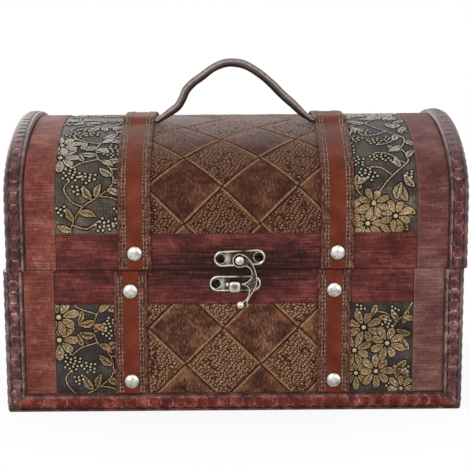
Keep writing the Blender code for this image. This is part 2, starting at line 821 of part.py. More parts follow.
def handle(lid):
    """Rolled leather handle whose thinner ends lie in the straps' tunnels."""
    seat = dome_height(HANDLE_Y, LEATHER_INSET)
    steepness = math.hypot(1.0, dome_slope(HANDLE_Y, LEATHER_INSET))
    axis_z = seat + (SEAT_GAP + HANDLE_END_RADIUS) * steepness
    joint = joint_empty("handle_swing", (HANDLE_X, HANDLE_Y, axis_z))
    route = [
        Vector((x * HANDLE_HALF_SPAN, 0, z * HANDLE_RISE)) for x, z in HANDLE_PATH_SHARES
    ]
    end = HANDLE_HALF_SPAN + HANDLE_END_LENGTH
    ends = (Vector((-end, 0, 0)), Vector((end, 0, 0)))
    path = smooth_path([ends[0], *route, ends[1]], HANDLE_STEPS)
    curve = bpy.data.curves.new("handle", "CURVE")
    curve.dimensions = "3D"
    curve.bevel_depth = HANDLE_RADIUS
    curve.bevel_resolution = 2
    curve.use_fill_caps = True
    spline = curve.splines.new("POLY")
    spline.points.add(len(path) - 1)
    for point, place in zip(spline.points, path):
        point.co = (*place, 1)
        swell = (HANDLE_HALF_SPAN - abs(place.x)) / HANDLE_SWELL_LENGTH
        swell = min(1.0, max(0.0, swell))
        radius = HANDLE_END_RADIUS + (HANDLE_RADIUS - HANDLE_END_RADIUS) * swell
        point.radius = radius / HANDLE_RADIUS
    piece = add_object("handle", curve, HANDLE_LEATHER)
    piece.location = (HANDLE_X, HANDLE_Y, axis_z)
    hold(piece, joint)
    hold(joint, lid)


def latch_plate(name, centre, tilt, parent=None):
    """A stadium plate with a raised rim and two screw holes, facing the front."""
    depth = LATCH_PLATE_THICKNESS + LATCH_RIM
    middle = Vector((centre[0], -(BOX_DEPTH / 2 - LATCH_BACK_INSET + depth / 2), centre[1]))
    loops = [stadium(LATCH_PLATE_LENGTH, LATCH_PLATE_WIDTH)]
    for side in (-1, 1):
        hole_centre = (side * LATCH_HOLE_SPACING / 2, 0)
        loops.append(arc_points(hole_centre, LATCH_HOLE_RADIUS, 0, 360, HOLE_STEPS)[:-1])
    plate = extruded(name, AGED_SILVER, loops, depth, middle, "front")
    plate.rotation_euler.y = -math.radians(tilt)
    inside = stadium(
        LATCH_PLATE_LENGTH - 2 * LATCH_RIM_WIDTH, LATCH_PLATE_WIDTH - 2 * LATCH_RIM_WIDTH
    )
    pocket_y = -(BOX_DEPTH / 2 - LATCH_FLOOR_INSET + OVERRUN / 2)
    pocket = extruded(
        name + "_pocket",
        AGED_SILVER,
        [inside],
        OVERRUN,
        (centre[0], pocket_y, centre[1]),
        "front",
    )
    pocket.rotation_euler.y = -math.radians(tilt)
    boolean(plate, pocket, "DIFFERENCE")
    if parent is not None:
        hold(plate, parent)
    return plate


def stem(name, radius, x, z, tip_inset):
    """A round stem from inside a latch plate out to a depth in front of it."""
    root = -(BOX_DEPTH / 2 - LATCH_BACK_INSET + LATCH_PLATE_THICKNESS / 2)
    tip = -(BOX_DEPTH / 2 - tip_inset)
    return cylinder(
        name, AGED_SILVER, radius, root - tip, (x, (root + tip) / 2, z), (0, -1, 0)
    )


def latch(lid):
    """Hook plate with its pivot rivet, the swinging hook, and the catch with its stud."""
    overlap_inset = LATCH_HEAD_INSET - HOOK_RIVET_HEIGHT / 2
    plate = latch_plate(
        "hook_plate", (HOOK_PIVOT_X, HOOK_PIVOT_Z + HOOK_PLATE_LIFT), HOOK_PLATE_TILT, lid
    )
    pivot = stem("hook_pivot", HOOK_PIVOT_RADIUS, HOOK_PIVOT_X, HOOK_PIVOT_Z, overlap_inset)
    boolean(plate, pivot, "UNION")
    sweep = arc_points((0, 0), 1.0, 90, 0, RIVET_STEPS // 4)
    profile = [(HOOK_RIVET_RADIUS * c, HOOK_RIVET_HEIGHT * s) for c, s in sweep]
    profile[0] = (0.0, HOOK_RIVET_HEIGHT)
    head_seat = (HOOK_PIVOT_X, -(BOX_DEPTH / 2 - LATCH_HEAD_INSET), HOOK_PIVOT_Z)
    head = turned(
        "hook_rivet_head", AGED_SILVER, [*profile, (0, 0)], RIVET_STEPS, head_seat, (0, -1, 0)
    )
    boolean(plate, head, "UNION")

    catch = latch_plate("catch_plate", (CATCH_PLATE_X, TRAY_HEIGHT - CATCH_PLATE_DROP), 0)
    neck = stem("catch_neck", CATCH_NECK_RADIUS, CATCH_STUD_X, CATCH_STUD_Z, overlap_inset)
    boolean(catch, neck, "UNION")
    half = CATCH_HEAD_WIDTH / 2
    head_back = -(BOX_DEPTH / 2 - LATCH_HEAD_INSET)
    stud = block(
        "catch_head",
        AGED_SILVER,
        (CATCH_STUD_X - half, head_back - CATCH_HEAD_THICKNESS, CATCH_STUD_Z - half),
        (CATCH_STUD_X + half, head_back, CATCH_STUD_Z + half),
    )
    soften = stud.modifiers.new("pillow", "BEVEL")
    soften.width = CATCH_HEAD_THICKNESS * CATCH_HEAD_ROUND_SHARE
    soften.segments = PILLOW_STEPS
    soften.limit_method = "NONE"
    boolean(catch, stud, "UNION")
    latch_hook(lid)


def latch_hook(lid):
    """The swinging hook: a flat ring and beak whose tail bends forward to a thumb ball."""
    ring = arc_points((0, 0), HOOK_RING_RADIUS, -60, -320, HOLE_STEPS)
    outline = [(x, z, False) for x, z in ring]
    outline += [(x * HOOK_REACH, z * HOOK_LENGTH, sharp) for x, z, sharp in HOOK_OUTLINE_SHARES]
    hole_radius = HOOK_PIVOT_RADIUS + LATCH_RUNNING_GAP / 2
    hole = arc_points((0, 0), hole_radius, 0, 360, HOLE_STEPS)[:-1]
    pivot_y = -(BOX_DEPTH / 2 - HOOK_BACK_INSET + HOOK_THICKNESS / 2)
    pivot = (HOOK_PIVOT_X, pivot_y, HOOK_PIVOT_Z)
    hook = extruded("latch_hook", AGED_SILVER, [outline, hole], HOOK_THICKNESS, pivot, "front")

    bend_start = -TAIL_BEND_START_SHARE * HOOK_LENGTH
    bend_end = -TAIL_BEND_END_SHARE * HOOK_LENGTH
    shape = bmesh.new()
    shape.from_mesh(hook.data)
    for step in range(TAIL_BEND_CUTS):
        level = bend_start + (bend_end - bend_start) * step / (TAIL_BEND_CUTS - 1)
        everything = [*shape.verts, *shape.edges, *shape.faces]
        bmesh.ops.bisect_plane(shape, geom=everything, plane_co=(0, level, 0), plane_no=(0, 1, 0))
    for vertex in shape.verts:
        share = min(1.0, max(0.0, (vertex.co.y - bend_start) / (bend_end - bend_start)))
        vertex.co.z += HOOK_TAIL_BEND * share * share * (3 - 2 * share)
    bmesh.ops.triangulate(shape, faces=[face for face in shape.faces if len(face.verts) > 4])
    shape.to_mesh(hook.data)
    shape.free()
    shade_round(hook.data)

    mesh = bpy.data.meshes.new("hook_ball")
    shape = bmesh.new()
    bmesh.ops.create_uvsphere(
        shape, u_segments=BALL_SEGMENTS, v_segments=BALL_RINGS, radius=HOOK_BALL_RADIUS
    )
    shape.to_mesh(mesh)
    shape.free()
    ball = add_object("hook_ball", mesh, AGED_SILVER)
    ball.scale = (1.0, HOOK_BALL_DEPTH / (2 * HOOK_BALL_RADIUS), 1.0)
    ball.location = (
        HOOK_PIVOT_X + TAIL_BALL_X_SHARE * HOOK_REACH,
        pivot_y - HOOK_TAIL_BEND,
        HOOK_PIVOT_Z - TAIL_BALL_Z_SHARE * HOOK_LENGTH,
    )
    boolean(hook, ball, "UNION")

    joint = joint_empty("latch_swing", pivot)
    hold(hook, joint)
    hold(joint, lid)


def hinge_leaf(name, x, side, parent=None):
    """One leaf of a stop hinge. side is -1 for the tray's leaf and 1 for the lid's.

    The tray's leaf has the two outer knuckles and the lid's the middle one. Each has a stop
    rib whose face lies half the open angle away from the seam plane, so that the two ribs
    meet face to face when the lid is open.
    """
    half = HINGE_WIDTH / 2
    middle_half = HINGE_MIDDLE_KNUCKLE / 2
    notch_half = middle_half + SEAT_GAP
    end = side * HINGE_LEAF_HEIGHT
    root = side * KNUCKLE_NOTCH
    wrap = -side * HINGE_LEAF_THICKNESS / 2
    if side < 0:
        tabs = [
            (half, end),
            (half, wrap),
            (notch_half, wrap),
            (notch_half, root),
            (-notch_half, root),
            (-notch_half, wrap),
            (-half, wrap),
            (-half, end),
        ]
    else:
        tabs = [
            (-half, end),
            (-half, root + HINGE_LEAF_THICKNESS),
            (-middle_half, root),
            (-middle_half, wrap),
            (middle_half, wrap),
            (middle_half, root),
            (half, root + HINGE_LEAF_THICKNESS),
            (half, end),
        ]
    hole_z = side * (HINGE_LEAF_HEIGHT + STOP_OUTER_REACH) / 2
    holes = [
        arc_points((hx, hole_z), HINGE_HOLE_RADIUS, 0, 360, HOLE_STEPS)[:-1]
        for hx in (-half * HINGE_HOLE_SHARE, half * HINGE_HOLE_SHARE)
    ]
    plate_y = HINGE_Y - HINGE_KNUCKLE_RADIUS + HINGE_LEAF_THICKNESS / 2
    centre = (x, plate_y, HINGE_Z)
    leaf = extruded(name, BRASS, [tabs, *holes], HINGE_LEAF_THICKNESS, centre, "front")

    if side < 0:
        reach = half - HINGE_SIDE_KNUCKLE / 2
        knuckles = [(x - reach, HINGE_SIDE_KNUCKLE), (x + reach, HINGE_SIDE_KNUCKLE)]
    else:
        knuckles = [(x, HINGE_MIDDLE_KNUCKLE)]
    for index, (place, length) in enumerate(knuckles):
        barrel = cylinder(
            f"{name}_knuckle_{index}",
            BRASS,
            HINGE_KNUCKLE_RADIUS,
            length,
            (place, HINGE_Y, HINGE_Z),
            (1, 0, 0),
        )
        boolean(leaf, barrel, "UNION")

    tilt = math.radians(LID_OPEN_ANGLE / 2)
    outward = Vector((math.cos(tilt), side * math.sin(tilt)))
    clear = Vector((-math.sin(tilt), side * math.cos(tilt))) * STOP_FACE_GAP
    near = outward * STOP_INNER_REACH + clear
    far = outward * STOP_OUTER_REACH + clear
    root_y = -HINGE_KNUCKLE_RADIUS + HINGE_LEAF_THICKNESS / 2
    rib_outline = [
        (root_y, near.y),
        tuple(near),
        tuple(far),
        (root_y, far.y + side * HINGE_LEAF_THICKNESS),
    ]
    rib_width = HINGE_WIDTH - 2 * SEAT_GAP
    rib = extruded(
        name + "_stop", BRASS, [rib_outline], rib_width, (x, HINGE_Y, HINGE_Z), "end"
    )
    boolean(leaf, rib, "UNION")
    bore = cylinder(
        name + "_bore",
        BRASS,
        HINGE_PIN_RADIUS + HINGE_PIN_CLEARANCE,
        HINGE_WIDTH + OVERRUN,
        (x, HINGE_Y, HINGE_Z),
        (1, 0, 0),
    )
    boolean(leaf, bore, "DIFFERENCE")
    if parent is not None:
        hold(leaf, parent)
    return leaf


def hinges(lid):
    """Two stop hinges, each with a headed pin."""
    for word, side in (("left", -1), ("right", 1)):
        x = side * HINGE_X
        hinge_leaf(f"hinge_tray_leaf_{word}", x, -1)
        hinge_leaf(f"hinge_lid_leaf_{word}", x, 1, lid)
        reach = HINGE_WIDTH / 2 + HINGE_PIN_CLEARANCE
        head = HINGE_PIN_RADIUS + HINGE_PIN_HEAD
        profile = [
            (0.0, reach + HINGE_PIN_HEAD),
            (head, reach + HINGE_PIN_HEAD / 2),
            (head, reach),
            (HINGE_PIN_RADIUS, reach),
            (HINGE_PIN_RADIUS, -reach),
            (head, -reach),
            (head, -reach - HINGE_PIN_HEAD / 2),
            (0.0, -reach - HINGE_PIN_HEAD),
        ]
        turned(
            f"hinge_pin_{word}", BRASS, profile, HOLE_STEPS, (x, HINGE_Y, HINGE_Z), (1, 0, 0)
        )


def build_box():
    """The whole box, its lid held by an empty on the hinge axis."""
    lid = joint_empty("lid_hinge", (0, HINGE_Y, HINGE_Z))
    tray_boards()
    tray_cladding()
    tray_trims()
    tray_straps()
    lid_boards(lid)
    lid_cladding(lid)
    lid_trims(lid)
    lid_straps(lid)
    handle(lid)
    latch(lid)
    hinges(lid)


build_box()
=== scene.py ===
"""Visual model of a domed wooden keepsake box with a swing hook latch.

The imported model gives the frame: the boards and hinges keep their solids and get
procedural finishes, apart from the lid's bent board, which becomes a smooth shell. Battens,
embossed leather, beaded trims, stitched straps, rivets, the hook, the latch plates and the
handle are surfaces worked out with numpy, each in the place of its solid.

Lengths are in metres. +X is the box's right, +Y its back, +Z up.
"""

import json
import logging
import math
from collections.abc import Sequence
from dataclasses import dataclass, field
from enum import Enum
from functools import cache
from itertools import count

import bpy
import numpy as np
from mathutils import Matrix, Vector


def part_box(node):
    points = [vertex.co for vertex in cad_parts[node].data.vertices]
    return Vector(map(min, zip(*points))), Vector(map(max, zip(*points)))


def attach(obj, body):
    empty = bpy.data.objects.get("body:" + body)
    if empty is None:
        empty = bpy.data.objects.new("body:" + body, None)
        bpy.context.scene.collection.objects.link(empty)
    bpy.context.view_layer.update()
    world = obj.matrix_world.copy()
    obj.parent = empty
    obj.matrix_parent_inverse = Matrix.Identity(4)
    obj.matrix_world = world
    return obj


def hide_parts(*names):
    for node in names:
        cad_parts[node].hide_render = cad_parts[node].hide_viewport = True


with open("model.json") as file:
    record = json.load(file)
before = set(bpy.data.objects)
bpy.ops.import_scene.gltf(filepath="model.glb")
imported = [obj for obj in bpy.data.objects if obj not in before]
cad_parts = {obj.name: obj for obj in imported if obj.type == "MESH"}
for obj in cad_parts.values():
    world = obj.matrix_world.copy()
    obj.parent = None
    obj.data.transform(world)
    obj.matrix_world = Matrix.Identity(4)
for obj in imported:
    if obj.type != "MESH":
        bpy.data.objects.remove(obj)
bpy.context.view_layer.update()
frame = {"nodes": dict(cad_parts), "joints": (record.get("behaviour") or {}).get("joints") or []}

Array = np.ndarray
Socket = bpy.types.NodeSocket
Colour = tuple[float, float, float, float]
Pair = tuple[float, float]
Triple = tuple[float, float, float]

LOG = logging.getLogger("keepsake_box")
MM = 0.001


@dataclass(frozen=True)
class BoxSizes:
    """The sizes that the surfaces share with the solids."""

    width: float = 250.0 * MM
    depth: float = 172.0 * MM
    tray_height: float = 79.5 * MM
    seam_gap: float = 0.4 * MM
    straight_rise: float = 39.0 * MM
    dome_rise: float = 36.9 * MM
    lid_sideways: float = 1.6 * MM
    seat_inset: float = 2.7 * MM
    strap_back_inset: float = 1.4 * MM
    trim_width: float = 9.8 * MM
    board_inset: float = 3.0 * MM
    board_thickness: float = 6.0 * MM
    batten_thickness: float = 1.0 * MM
    leather_thickness: float = 0.8 * MM
    strap_thickness: float = 1.4 * MM
    tunnel_half_length: float = 8.0 * MM
    tunnel_rise: float = 2.7 * MM
    seam_fade: float = 2.8 * MM
    handle_y: float = -24.0 * MM

    @property
    def lid_bottom(self) -> float:
        """Height of the lid's lower edge."""
        return self.tray_height + self.seam_gap

    @property
    def springing(self) -> float:
        """Height at which the lid's sides turn into the dome."""
        return self.lid_bottom + self.straight_rise


SIZES = BoxSizes()


def unit(rows: Array) -> Array:
    """Vectors over their own lengths."""
    return rows / np.linalg.norm(rows, axis=-1, keepdims=True)


def bell(offset: Array, width: float) -> Array:
    """Gaussian bump: e to the minus square of offset over width."""
    return np.exp(-((offset / width) ** 2))


def smooth_step(value: Array, low: float, high: float) -> Array:
    """Rises from 0 at low to 1 at high, as 3t squared minus 2t cubed."""
    share = np.clip((value - low) / (high - low), 0.0, 1.0)
    return share * share * (3.0 - 2.0 * share)


def smooth_curve(points: Array, steps: int) -> Array:
    """Catmull-Rom curve through points.

    Args:
        points: Rows of coordinates, in order.
        steps: Places on each stretch.

    Returns:
        Rows of coordinates along the curve. Between two points it is the cubic that
        passes through both with slopes of half the step across each.
    """
    padded = np.concatenate([points[:1], points, points[-1:]])[:, None]
    before, start, end, after = padded[:-3], padded[1:-2], padded[2:-1], padded[3:]
    t = (np.arange(steps) / steps)[None, :, None]
    curve = 0.5 * (
        2 * start
        + (end - before) * t
        + (2 * before - 5 * start + 4 * end - after) * t**2
        + (3 * start - before - 3 * end + after) * t**3
    )
    return np.concatenate([curve.reshape(-1, points.shape[1]), points[-1:]])


@dataclass
class Surface:
    """One or more closed surfaces on equal grids, with masks that their finish reads.

    Rows run along the piece and columns across it. The last column is joined to the first
    by a strip, and the first and last rows are closed with caps. A cap of an L section is
    cut in two at its fold, the columns of its outer and inner corners.
    """

    points: Array
    masks: dict[str, Array] = field(default_factory=dict)
    lay: Array | None = None
    cap_fold: tuple[int, int] | None = None

    def __post_init__(self) -> None:
        """Gives every array a leading axis that counts the copies."""
        if self.points.ndim == 3:
            self.points = self.points[None]

    def faces(self) -> list[Array]:
        """Vertex numbers of the faces, as arrays of equal-sided faces, turned one way."""
        copies, rows, columns, _ = self.points.shape
        number = np.arange(rows * columns).reshape(rows, columns)
        beside = np.roll(number, -1, axis=1)
        quads = np.stack([number[:-1], beside[:-1], beside[1:], number[1:]], axis=-1)
        caps = [number[0, ::-1], number[-1]]
        if self.cap_fold is not None:
            first, last = self.cap_fold
            caps = []
            for row, turn in ((number[0], -1), (number[-1], 1)):
                rest = np.concatenate([row[last:], row[:first + 1]])
                caps += [row[first:last + 1][::turn], rest[::turn]]
        groups = [quads.reshape(-1, 4), *(cap[None] for cap in caps)]
        shift = (np.arange(copies) * rows * columns)[:, None, None]
        return [(group[None] + shift).reshape(-1, group.shape[1]) for group in groups]

    def outward(self) -> bool:
        """Whether the faces point outwards, from the sign of the volume that they close."""
        places = self.points.reshape(-1, 3) - self.points.mean(axis=(0, 1, 2))
        volume = 0.0
        for group in self.faces():
            for corner in range(1, group.shape[1] - 1):
                a, b, c = places[group[:, 0]], places[group[:, corner]], places[group[:, corner + 1]]
                volume += float(np.einsum("ij,ij->", a, np.cross(b, c)))
        return volume > 0.0

    def values(self, mask: str) -> Array:
        """A mask's value at each point, 0 where the surface lacks it."""
        return np.broadcast_to(self.masks.get(mask, 0.0), self.points.shape[:3]).ravel()


def add_object(name: str, data: bpy.types.ID) -> bpy.types.Object:
    """A new object in the scene."""
    made = bpy.data.objects.new(name, data)
    bpy.context.scene.collection.objects.link(made)
    return made


def add_field(mesh: bpy.types.Mesh, name: str, kind: str, key: str, values: Sequence[Array]) -> None:
    """Stores values for a mesh's points, as an attribute of a kind."""
    layer = mesh.attributes.new(name, kind, "POINT")
    layer.data.foreach_set(key, np.concatenate(values).astype(np.float32).ravel())


def build_mesh(name: str, surfaces: Sequence[Surface]) -> bpy.types.Mesh:
    """A mesh of closed surfaces, turned outwards.

    Args:
        name: The mesh's name.
        surfaces: What it is made of.

    Returns:
        The mesh, with an attribute for each mask and one for the lay of its places.
    """
    points, groups, start = [], [], 0
    for surface in surfaces:
        flip = slice(None) if surface.outward() else slice(None, None, -1)
        groups += [group[:, flip] + start for group in surface.faces()]
        points.append(surface.points.reshape(-1, 3))
        start += len(points[-1])
    mesh = bpy.data.meshes.new(name)
    mesh.vertices.add(start)
    mesh.vertices.foreach_set("co", np.concatenate(points).astype(np.float32).ravel())
    corners = np.concatenate([group.ravel() for group in groups]).astype(np.int32)
    sizes = np.concatenate([np.full(len(group), group.shape[1]) for group in groups])
    mesh.loops.add(len(corners))
    mesh.loops.foreach_set("vertex_index", corners)
    mesh.polygons.add(len(sizes))
    starts = np.concatenate([[0], np.cumsum(sizes)[:-1]])
    mesh.polygons.foreach_set("loop_start", starts.astype(np.int32))
    mesh.update(calc_edges=True)
    mesh.validate()
    for mask in sorted({mask for surface in surfaces for mask in surface.masks}):
        add_field(mesh, mask, "FLOAT", "value", [surface.values(mask) for surface in surfaces])
    if surfaces[0].lay is not None:
        lays = [np.pad(surface.lay, ((0, 0), (0, 0), (0, 1))).reshape(-1, 3) for surface in surfaces]
        add_field(mesh, "lay", "FLOAT_VECTOR", "vector", lays)
    return mesh


def make_piece(
    name: str, surfaces: Sequence[Surface], finish: "Finish", body: str,
    replaces: Sequence[str] = (), sharp: float = 60.0,
) -> None:
    """Adds one object made of one or more surfaces.

    Args:
        name: The piece's name.
        surfaces: What it is made of.
        finish: Its material.
        body: The body that it rides on.
        replaces: CAD nodes that it stands for.
        sharp: Angle in degrees past which an edge stays sharp.
    """
    mesh = build_mesh(name, surfaces)
    mesh.shade_smooth()
    mesh.set_sharp_from_angle(angle=math.radians(sharp))
    mesh.materials.append(finish.material())
    piece = add_object(name, mesh)
    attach(piece, body)
    if replaces:
        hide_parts(*replaces)
    LOG.info("%s: %d vertices, rides on %s", name, len(mesh.vertices), body)


def tint(code: str) -> Colour:
    """Linear colour of a six-digit sRGB code."""
    parts = [int(code[place:place + 2], 16) / 255.0 for place in (0, 2, 4)]
    linear = [part / 12.92 if part <= 0.04045 else ((part + 0.055) / 1.055) ** 2.4 for part in parts]
    return (*linear, 1.0)


class Graph:
    """The node tree of a material or world, built by short calls that return sockets.

    An input takes a socket, a plain value or the code of an sRGB colour.
    """

    def __init__(self, owner: bpy.types.Material | bpy.types.World) -> None:
        """Starts the owner's tree, which has one shader and one output."""
        owner.use_nodes = True
        self.owner = owner
        self.tree = owner.node_tree
        nodes = {node.type: node for node in self.tree.nodes}
        self.shader = nodes.get("BSDF_PRINCIPLED") or nodes["BACKGROUND"]
        self.output = nodes.get("OUTPUT_MATERIAL") or nodes["OUTPUT_WORLD"]

    def feed(self, socket: Socket, value: object) -> None:
        """Links a socket to an input, or sets the input's own value."""
        if isinstance(value, bpy.types.NodeSocket):
            self.tree.links.new(value, socket)
        else:
            socket.default_value = tint(value) if isinstance(value, str) else value

    def node(self, kind: str, inputs: dict, output: str | int = 0, **settings: object) -> Socket:
        """Adds a node.

        Args:
            kind: Node type without its ShaderNode prefix.
            inputs: Values or sockets for its inputs, by name or number.
            output: The output wanted.
            settings: Properties of the node.

        Returns:
            The output socket.
        """
        made = self.tree.nodes.new("ShaderNode" + kind)
        for key, value in settings.items():
            setattr(made, key, value)
        for key, value in inputs.items():
            self.feed(made.inputs[key], value)
        return made.outputs[output]

    def mask(self, name: str) -> Socket:
        """A mask stored on the surface."""
        return self.node("Attribute", {}, "Fac", attribute_name=name)

    def lay(self, scale: Pair = (1.0, 1.0), turn: float = 0.0) -> Socket:
        """The place on the surface, across and along, turned in degrees and then scaled."""
        place = self.node("Attribute", {}, "Vector", attribute_name="lay")
        if turn:
            place = self.node("Mapping", {"Vector": place, "Rotation": (0, 0, math.radians(turn))})
        return self.node("Mapping", {"Vector": place, "Scale": (*scale, 1.0)})

    def spot(self, scale: Triple = (1.0, 1.0, 1.0), middle: Triple = (0.0, 0.0, 0.0)) -> Socket:
        """The place in the box's own frame, about a middle and scaled."""
        offset = tuple(-place * size for place, size in zip(middle, scale))
        inputs = {"Vector": self.node("TexCoord", {}, "Object"), "Scale": scale, "Location": offset}
        return self.node("Mapping", inputs)

    def noise(
        self, place: Socket, scale: float, detail: float = 4.0, rough: float = 0.55, bend: float = 0.0
    ) -> Socket:
        """Fractal noise from 0 to 1."""
        inputs = {"Vector": place, "Scale": scale, "Detail": detail, "Roughness": rough}
        return self.node("TexNoise", {**inputs, "Distortion": bend}, "Fac")

    def grain(
        self, scale: Pair, detail: float, rough: float, bend: float = 0.0
    ) -> Socket:
        """Noise with scales across and along the surface."""
        return self.noise(self.lay(scale), 1.0, detail, rough, bend)

    def bands(self, place: Socket, pitch: float, bend: float) -> Socket:
        """Even sine bands across X. A wave texture repeats each time that X times 20 is 2 pi."""
        inputs = {"Vector": place, "Scale": 2.0 * math.pi / (20.0 * pitch), "Distortion": bend}
        return self.node("TexWave", {**inputs, "Detail": 2.0, "Detail Scale": 1.0}, "Fac")

    def ball(self, place: Socket) -> Socket:
        """1 where a place is at its middle, falling to 0 at a distance of 1."""
        return self.node("TexGradient", {"Vector": place}, "Fac", gradient_type="SPHERICAL")

    def level(
        self, value: Socket, low: float, high: float, start: float = 0.0, end: float = 1.0
    ) -> Socket:
        """Maps low to start and high to end, and stops there."""
        return self.node("MapRange", {0: value, 1: low, 2: high, 3: start, 4: end})

    def rise(self, low: float, high: float, end: float = 1.0) -> Socket:
        """Height in the box's frame, mapped from 0 at low to end at high."""
        return self.level(self.node("SeparateXYZ", {"Vector": self.spot()}, "Z"), low, high, 0.0, end)

    def maths(self, operation: str, first: object, second: object) -> Socket:
        """One arithmetic step."""
        return self.node("Math", {0: first, 1: second}, operation=operation)

    def times(self, first: object, second: object) -> Socket:
        """The product of two values."""
        return self.maths("MULTIPLY", first, second)

    def tones(self, value: Socket, places: Sequence[float], codes: Sequence[str]) -> Socket:
        """Colours along a value from 0 to 1, by their places and codes."""
        made = self.tree.nodes.new("ShaderNodeValToRGB")
        elements = made.color_ramp.elements
        while len(elements) < len(places):
            elements.new(0.5)
        for element, place, code in zip(elements, places, codes):
            element.position = place
            element.color = tint(code)
        self.feed(made.inputs["Fac"], value)
        return made.outputs["Color"]

    def mix(self, share: object, first: object, second: object) -> Socket:
        """Mixes two colours, or two values as greys."""
        return self.node("Mix", {0: share, 6: first, 7: second}, 2, data_type="RGBA")

    def done(self, **inputs: object) -> bpy.types.Material | bpy.types.World:
        """Feeds the shader and returns the owner. Underscores in a name stand for spaces."""
        for name, value in inputs.items():
            self.feed(self.shader.inputs[name.replace("_", " ")], value)
        return self.owner

    def coat(
        self, colour: Socket, rough: Socket | float, relief: Socket, depth: float,
        specular: float = 0.5, **inputs: object,
    ) -> bpy.types.Material:
        """A whole surface, whose relief of 0 to 1 stands for a depth in metres."""
        normal = self.node("Bump", {"Height": relief, "Distance": depth, "Strength": 1.0}, "Normal")
        inputs.update(Base_Color=colour, Roughness=rough, Specular_IOR_Level=specular, Normal=normal)
        return self.done(**inputs)

    def show(self, share: Socket, second: Socket) -> None:
        """Mixes the shader with a second one, by a share, on the way to the output."""
        blend = self.node("MixShader", {0: share, 1: self.shader.outputs[0], 2: second})
        self.feed(self.output.inputs["Surface"], blend)


@dataclass(frozen=True)
class Finish:
    """A finish that a piece wears. Each kind draws its own nodes."""

    name: str
    slot: str

    @cache
    def material(self) -> bpy.types.Material:
        """The material, made once for each finish."""
        return self.draw(Graph(bpy.data.materials.new(self.name)))

    def draw(self, graph: Graph) -> bpy.types.Material:
        """Draws the nodes."""
        raise NotImplementedError


@dataclass(frozen=True)
class Veneer(Finish):
    """Stained veneer with streaks across the box and a fine linen-like cross grain."""

    dark: str = "4a211e"
    middle: str = "7b3f35"
    light: str = "b07666"
    worn: str = "b7958a"
    linen: float = 0.34
    streaks: Pair = (60.0, 1100.0)
    stained: bool = False

    SMUDGE_MIDDLE = (0.0, -85.0 * MM, 81.5 * MM)
    SMUDGE_SCALE = (15.0, 1.0, 60.0)

    def draw(self, graph: Graph) -> bpy.types.Material:
        """Streaks, threads both ways, cloudy stain, worn edges and a smudge by the latch."""
        grain = graph.grain(self.streaks, 8.0, 0.72, 0.4)
        cross = graph.grain((1500.0, 210.0), 4.0, 0.65, 0.2)
        speck = graph.grain((800.0, 1900.0), 4.0, 0.7)
        cloud = graph.grain((50.0, 70.0), 8.0, 0.72, 0.4)
        weave = graph.mix(self.linen, grain, cross)
        codes = (self.dark, self.middle, self.light)
        colour = graph.tones(graph.mix(0.44, weave, cloud), (0.39, 0.5, 0.61), codes)
        colour = graph.mix(graph.level(speck, 0.5, 0.66, 0.0, 0.7), colour, self.dark)
        if self.stained:
            near = graph.ball(graph.spot(self.SMUDGE_SCALE, self.SMUDGE_MIDDLE))
            near = graph.times(near, graph.level(weave, 0.4, 0.6, 1.6, 0.5))
            colour = graph.mix(graph.level(near, 0.0, 0.7, 0.0, 0.9), colour, "160c0d")
        wear = graph.times(graph.mask("rim"), graph.level(speck, 0.42, 0.6, 0.1, 1.0))
        colour = graph.mix(graph.level(wear, 0.1, 1.0, 0.0, 0.6), colour, self.worn)
        rough = graph.level(grain, 0.3, 0.7, 0.48, 0.64)
        return graph.coat(colour, rough, graph.mix(0.5, weave, speck), 0.5 * MM, 0.12)


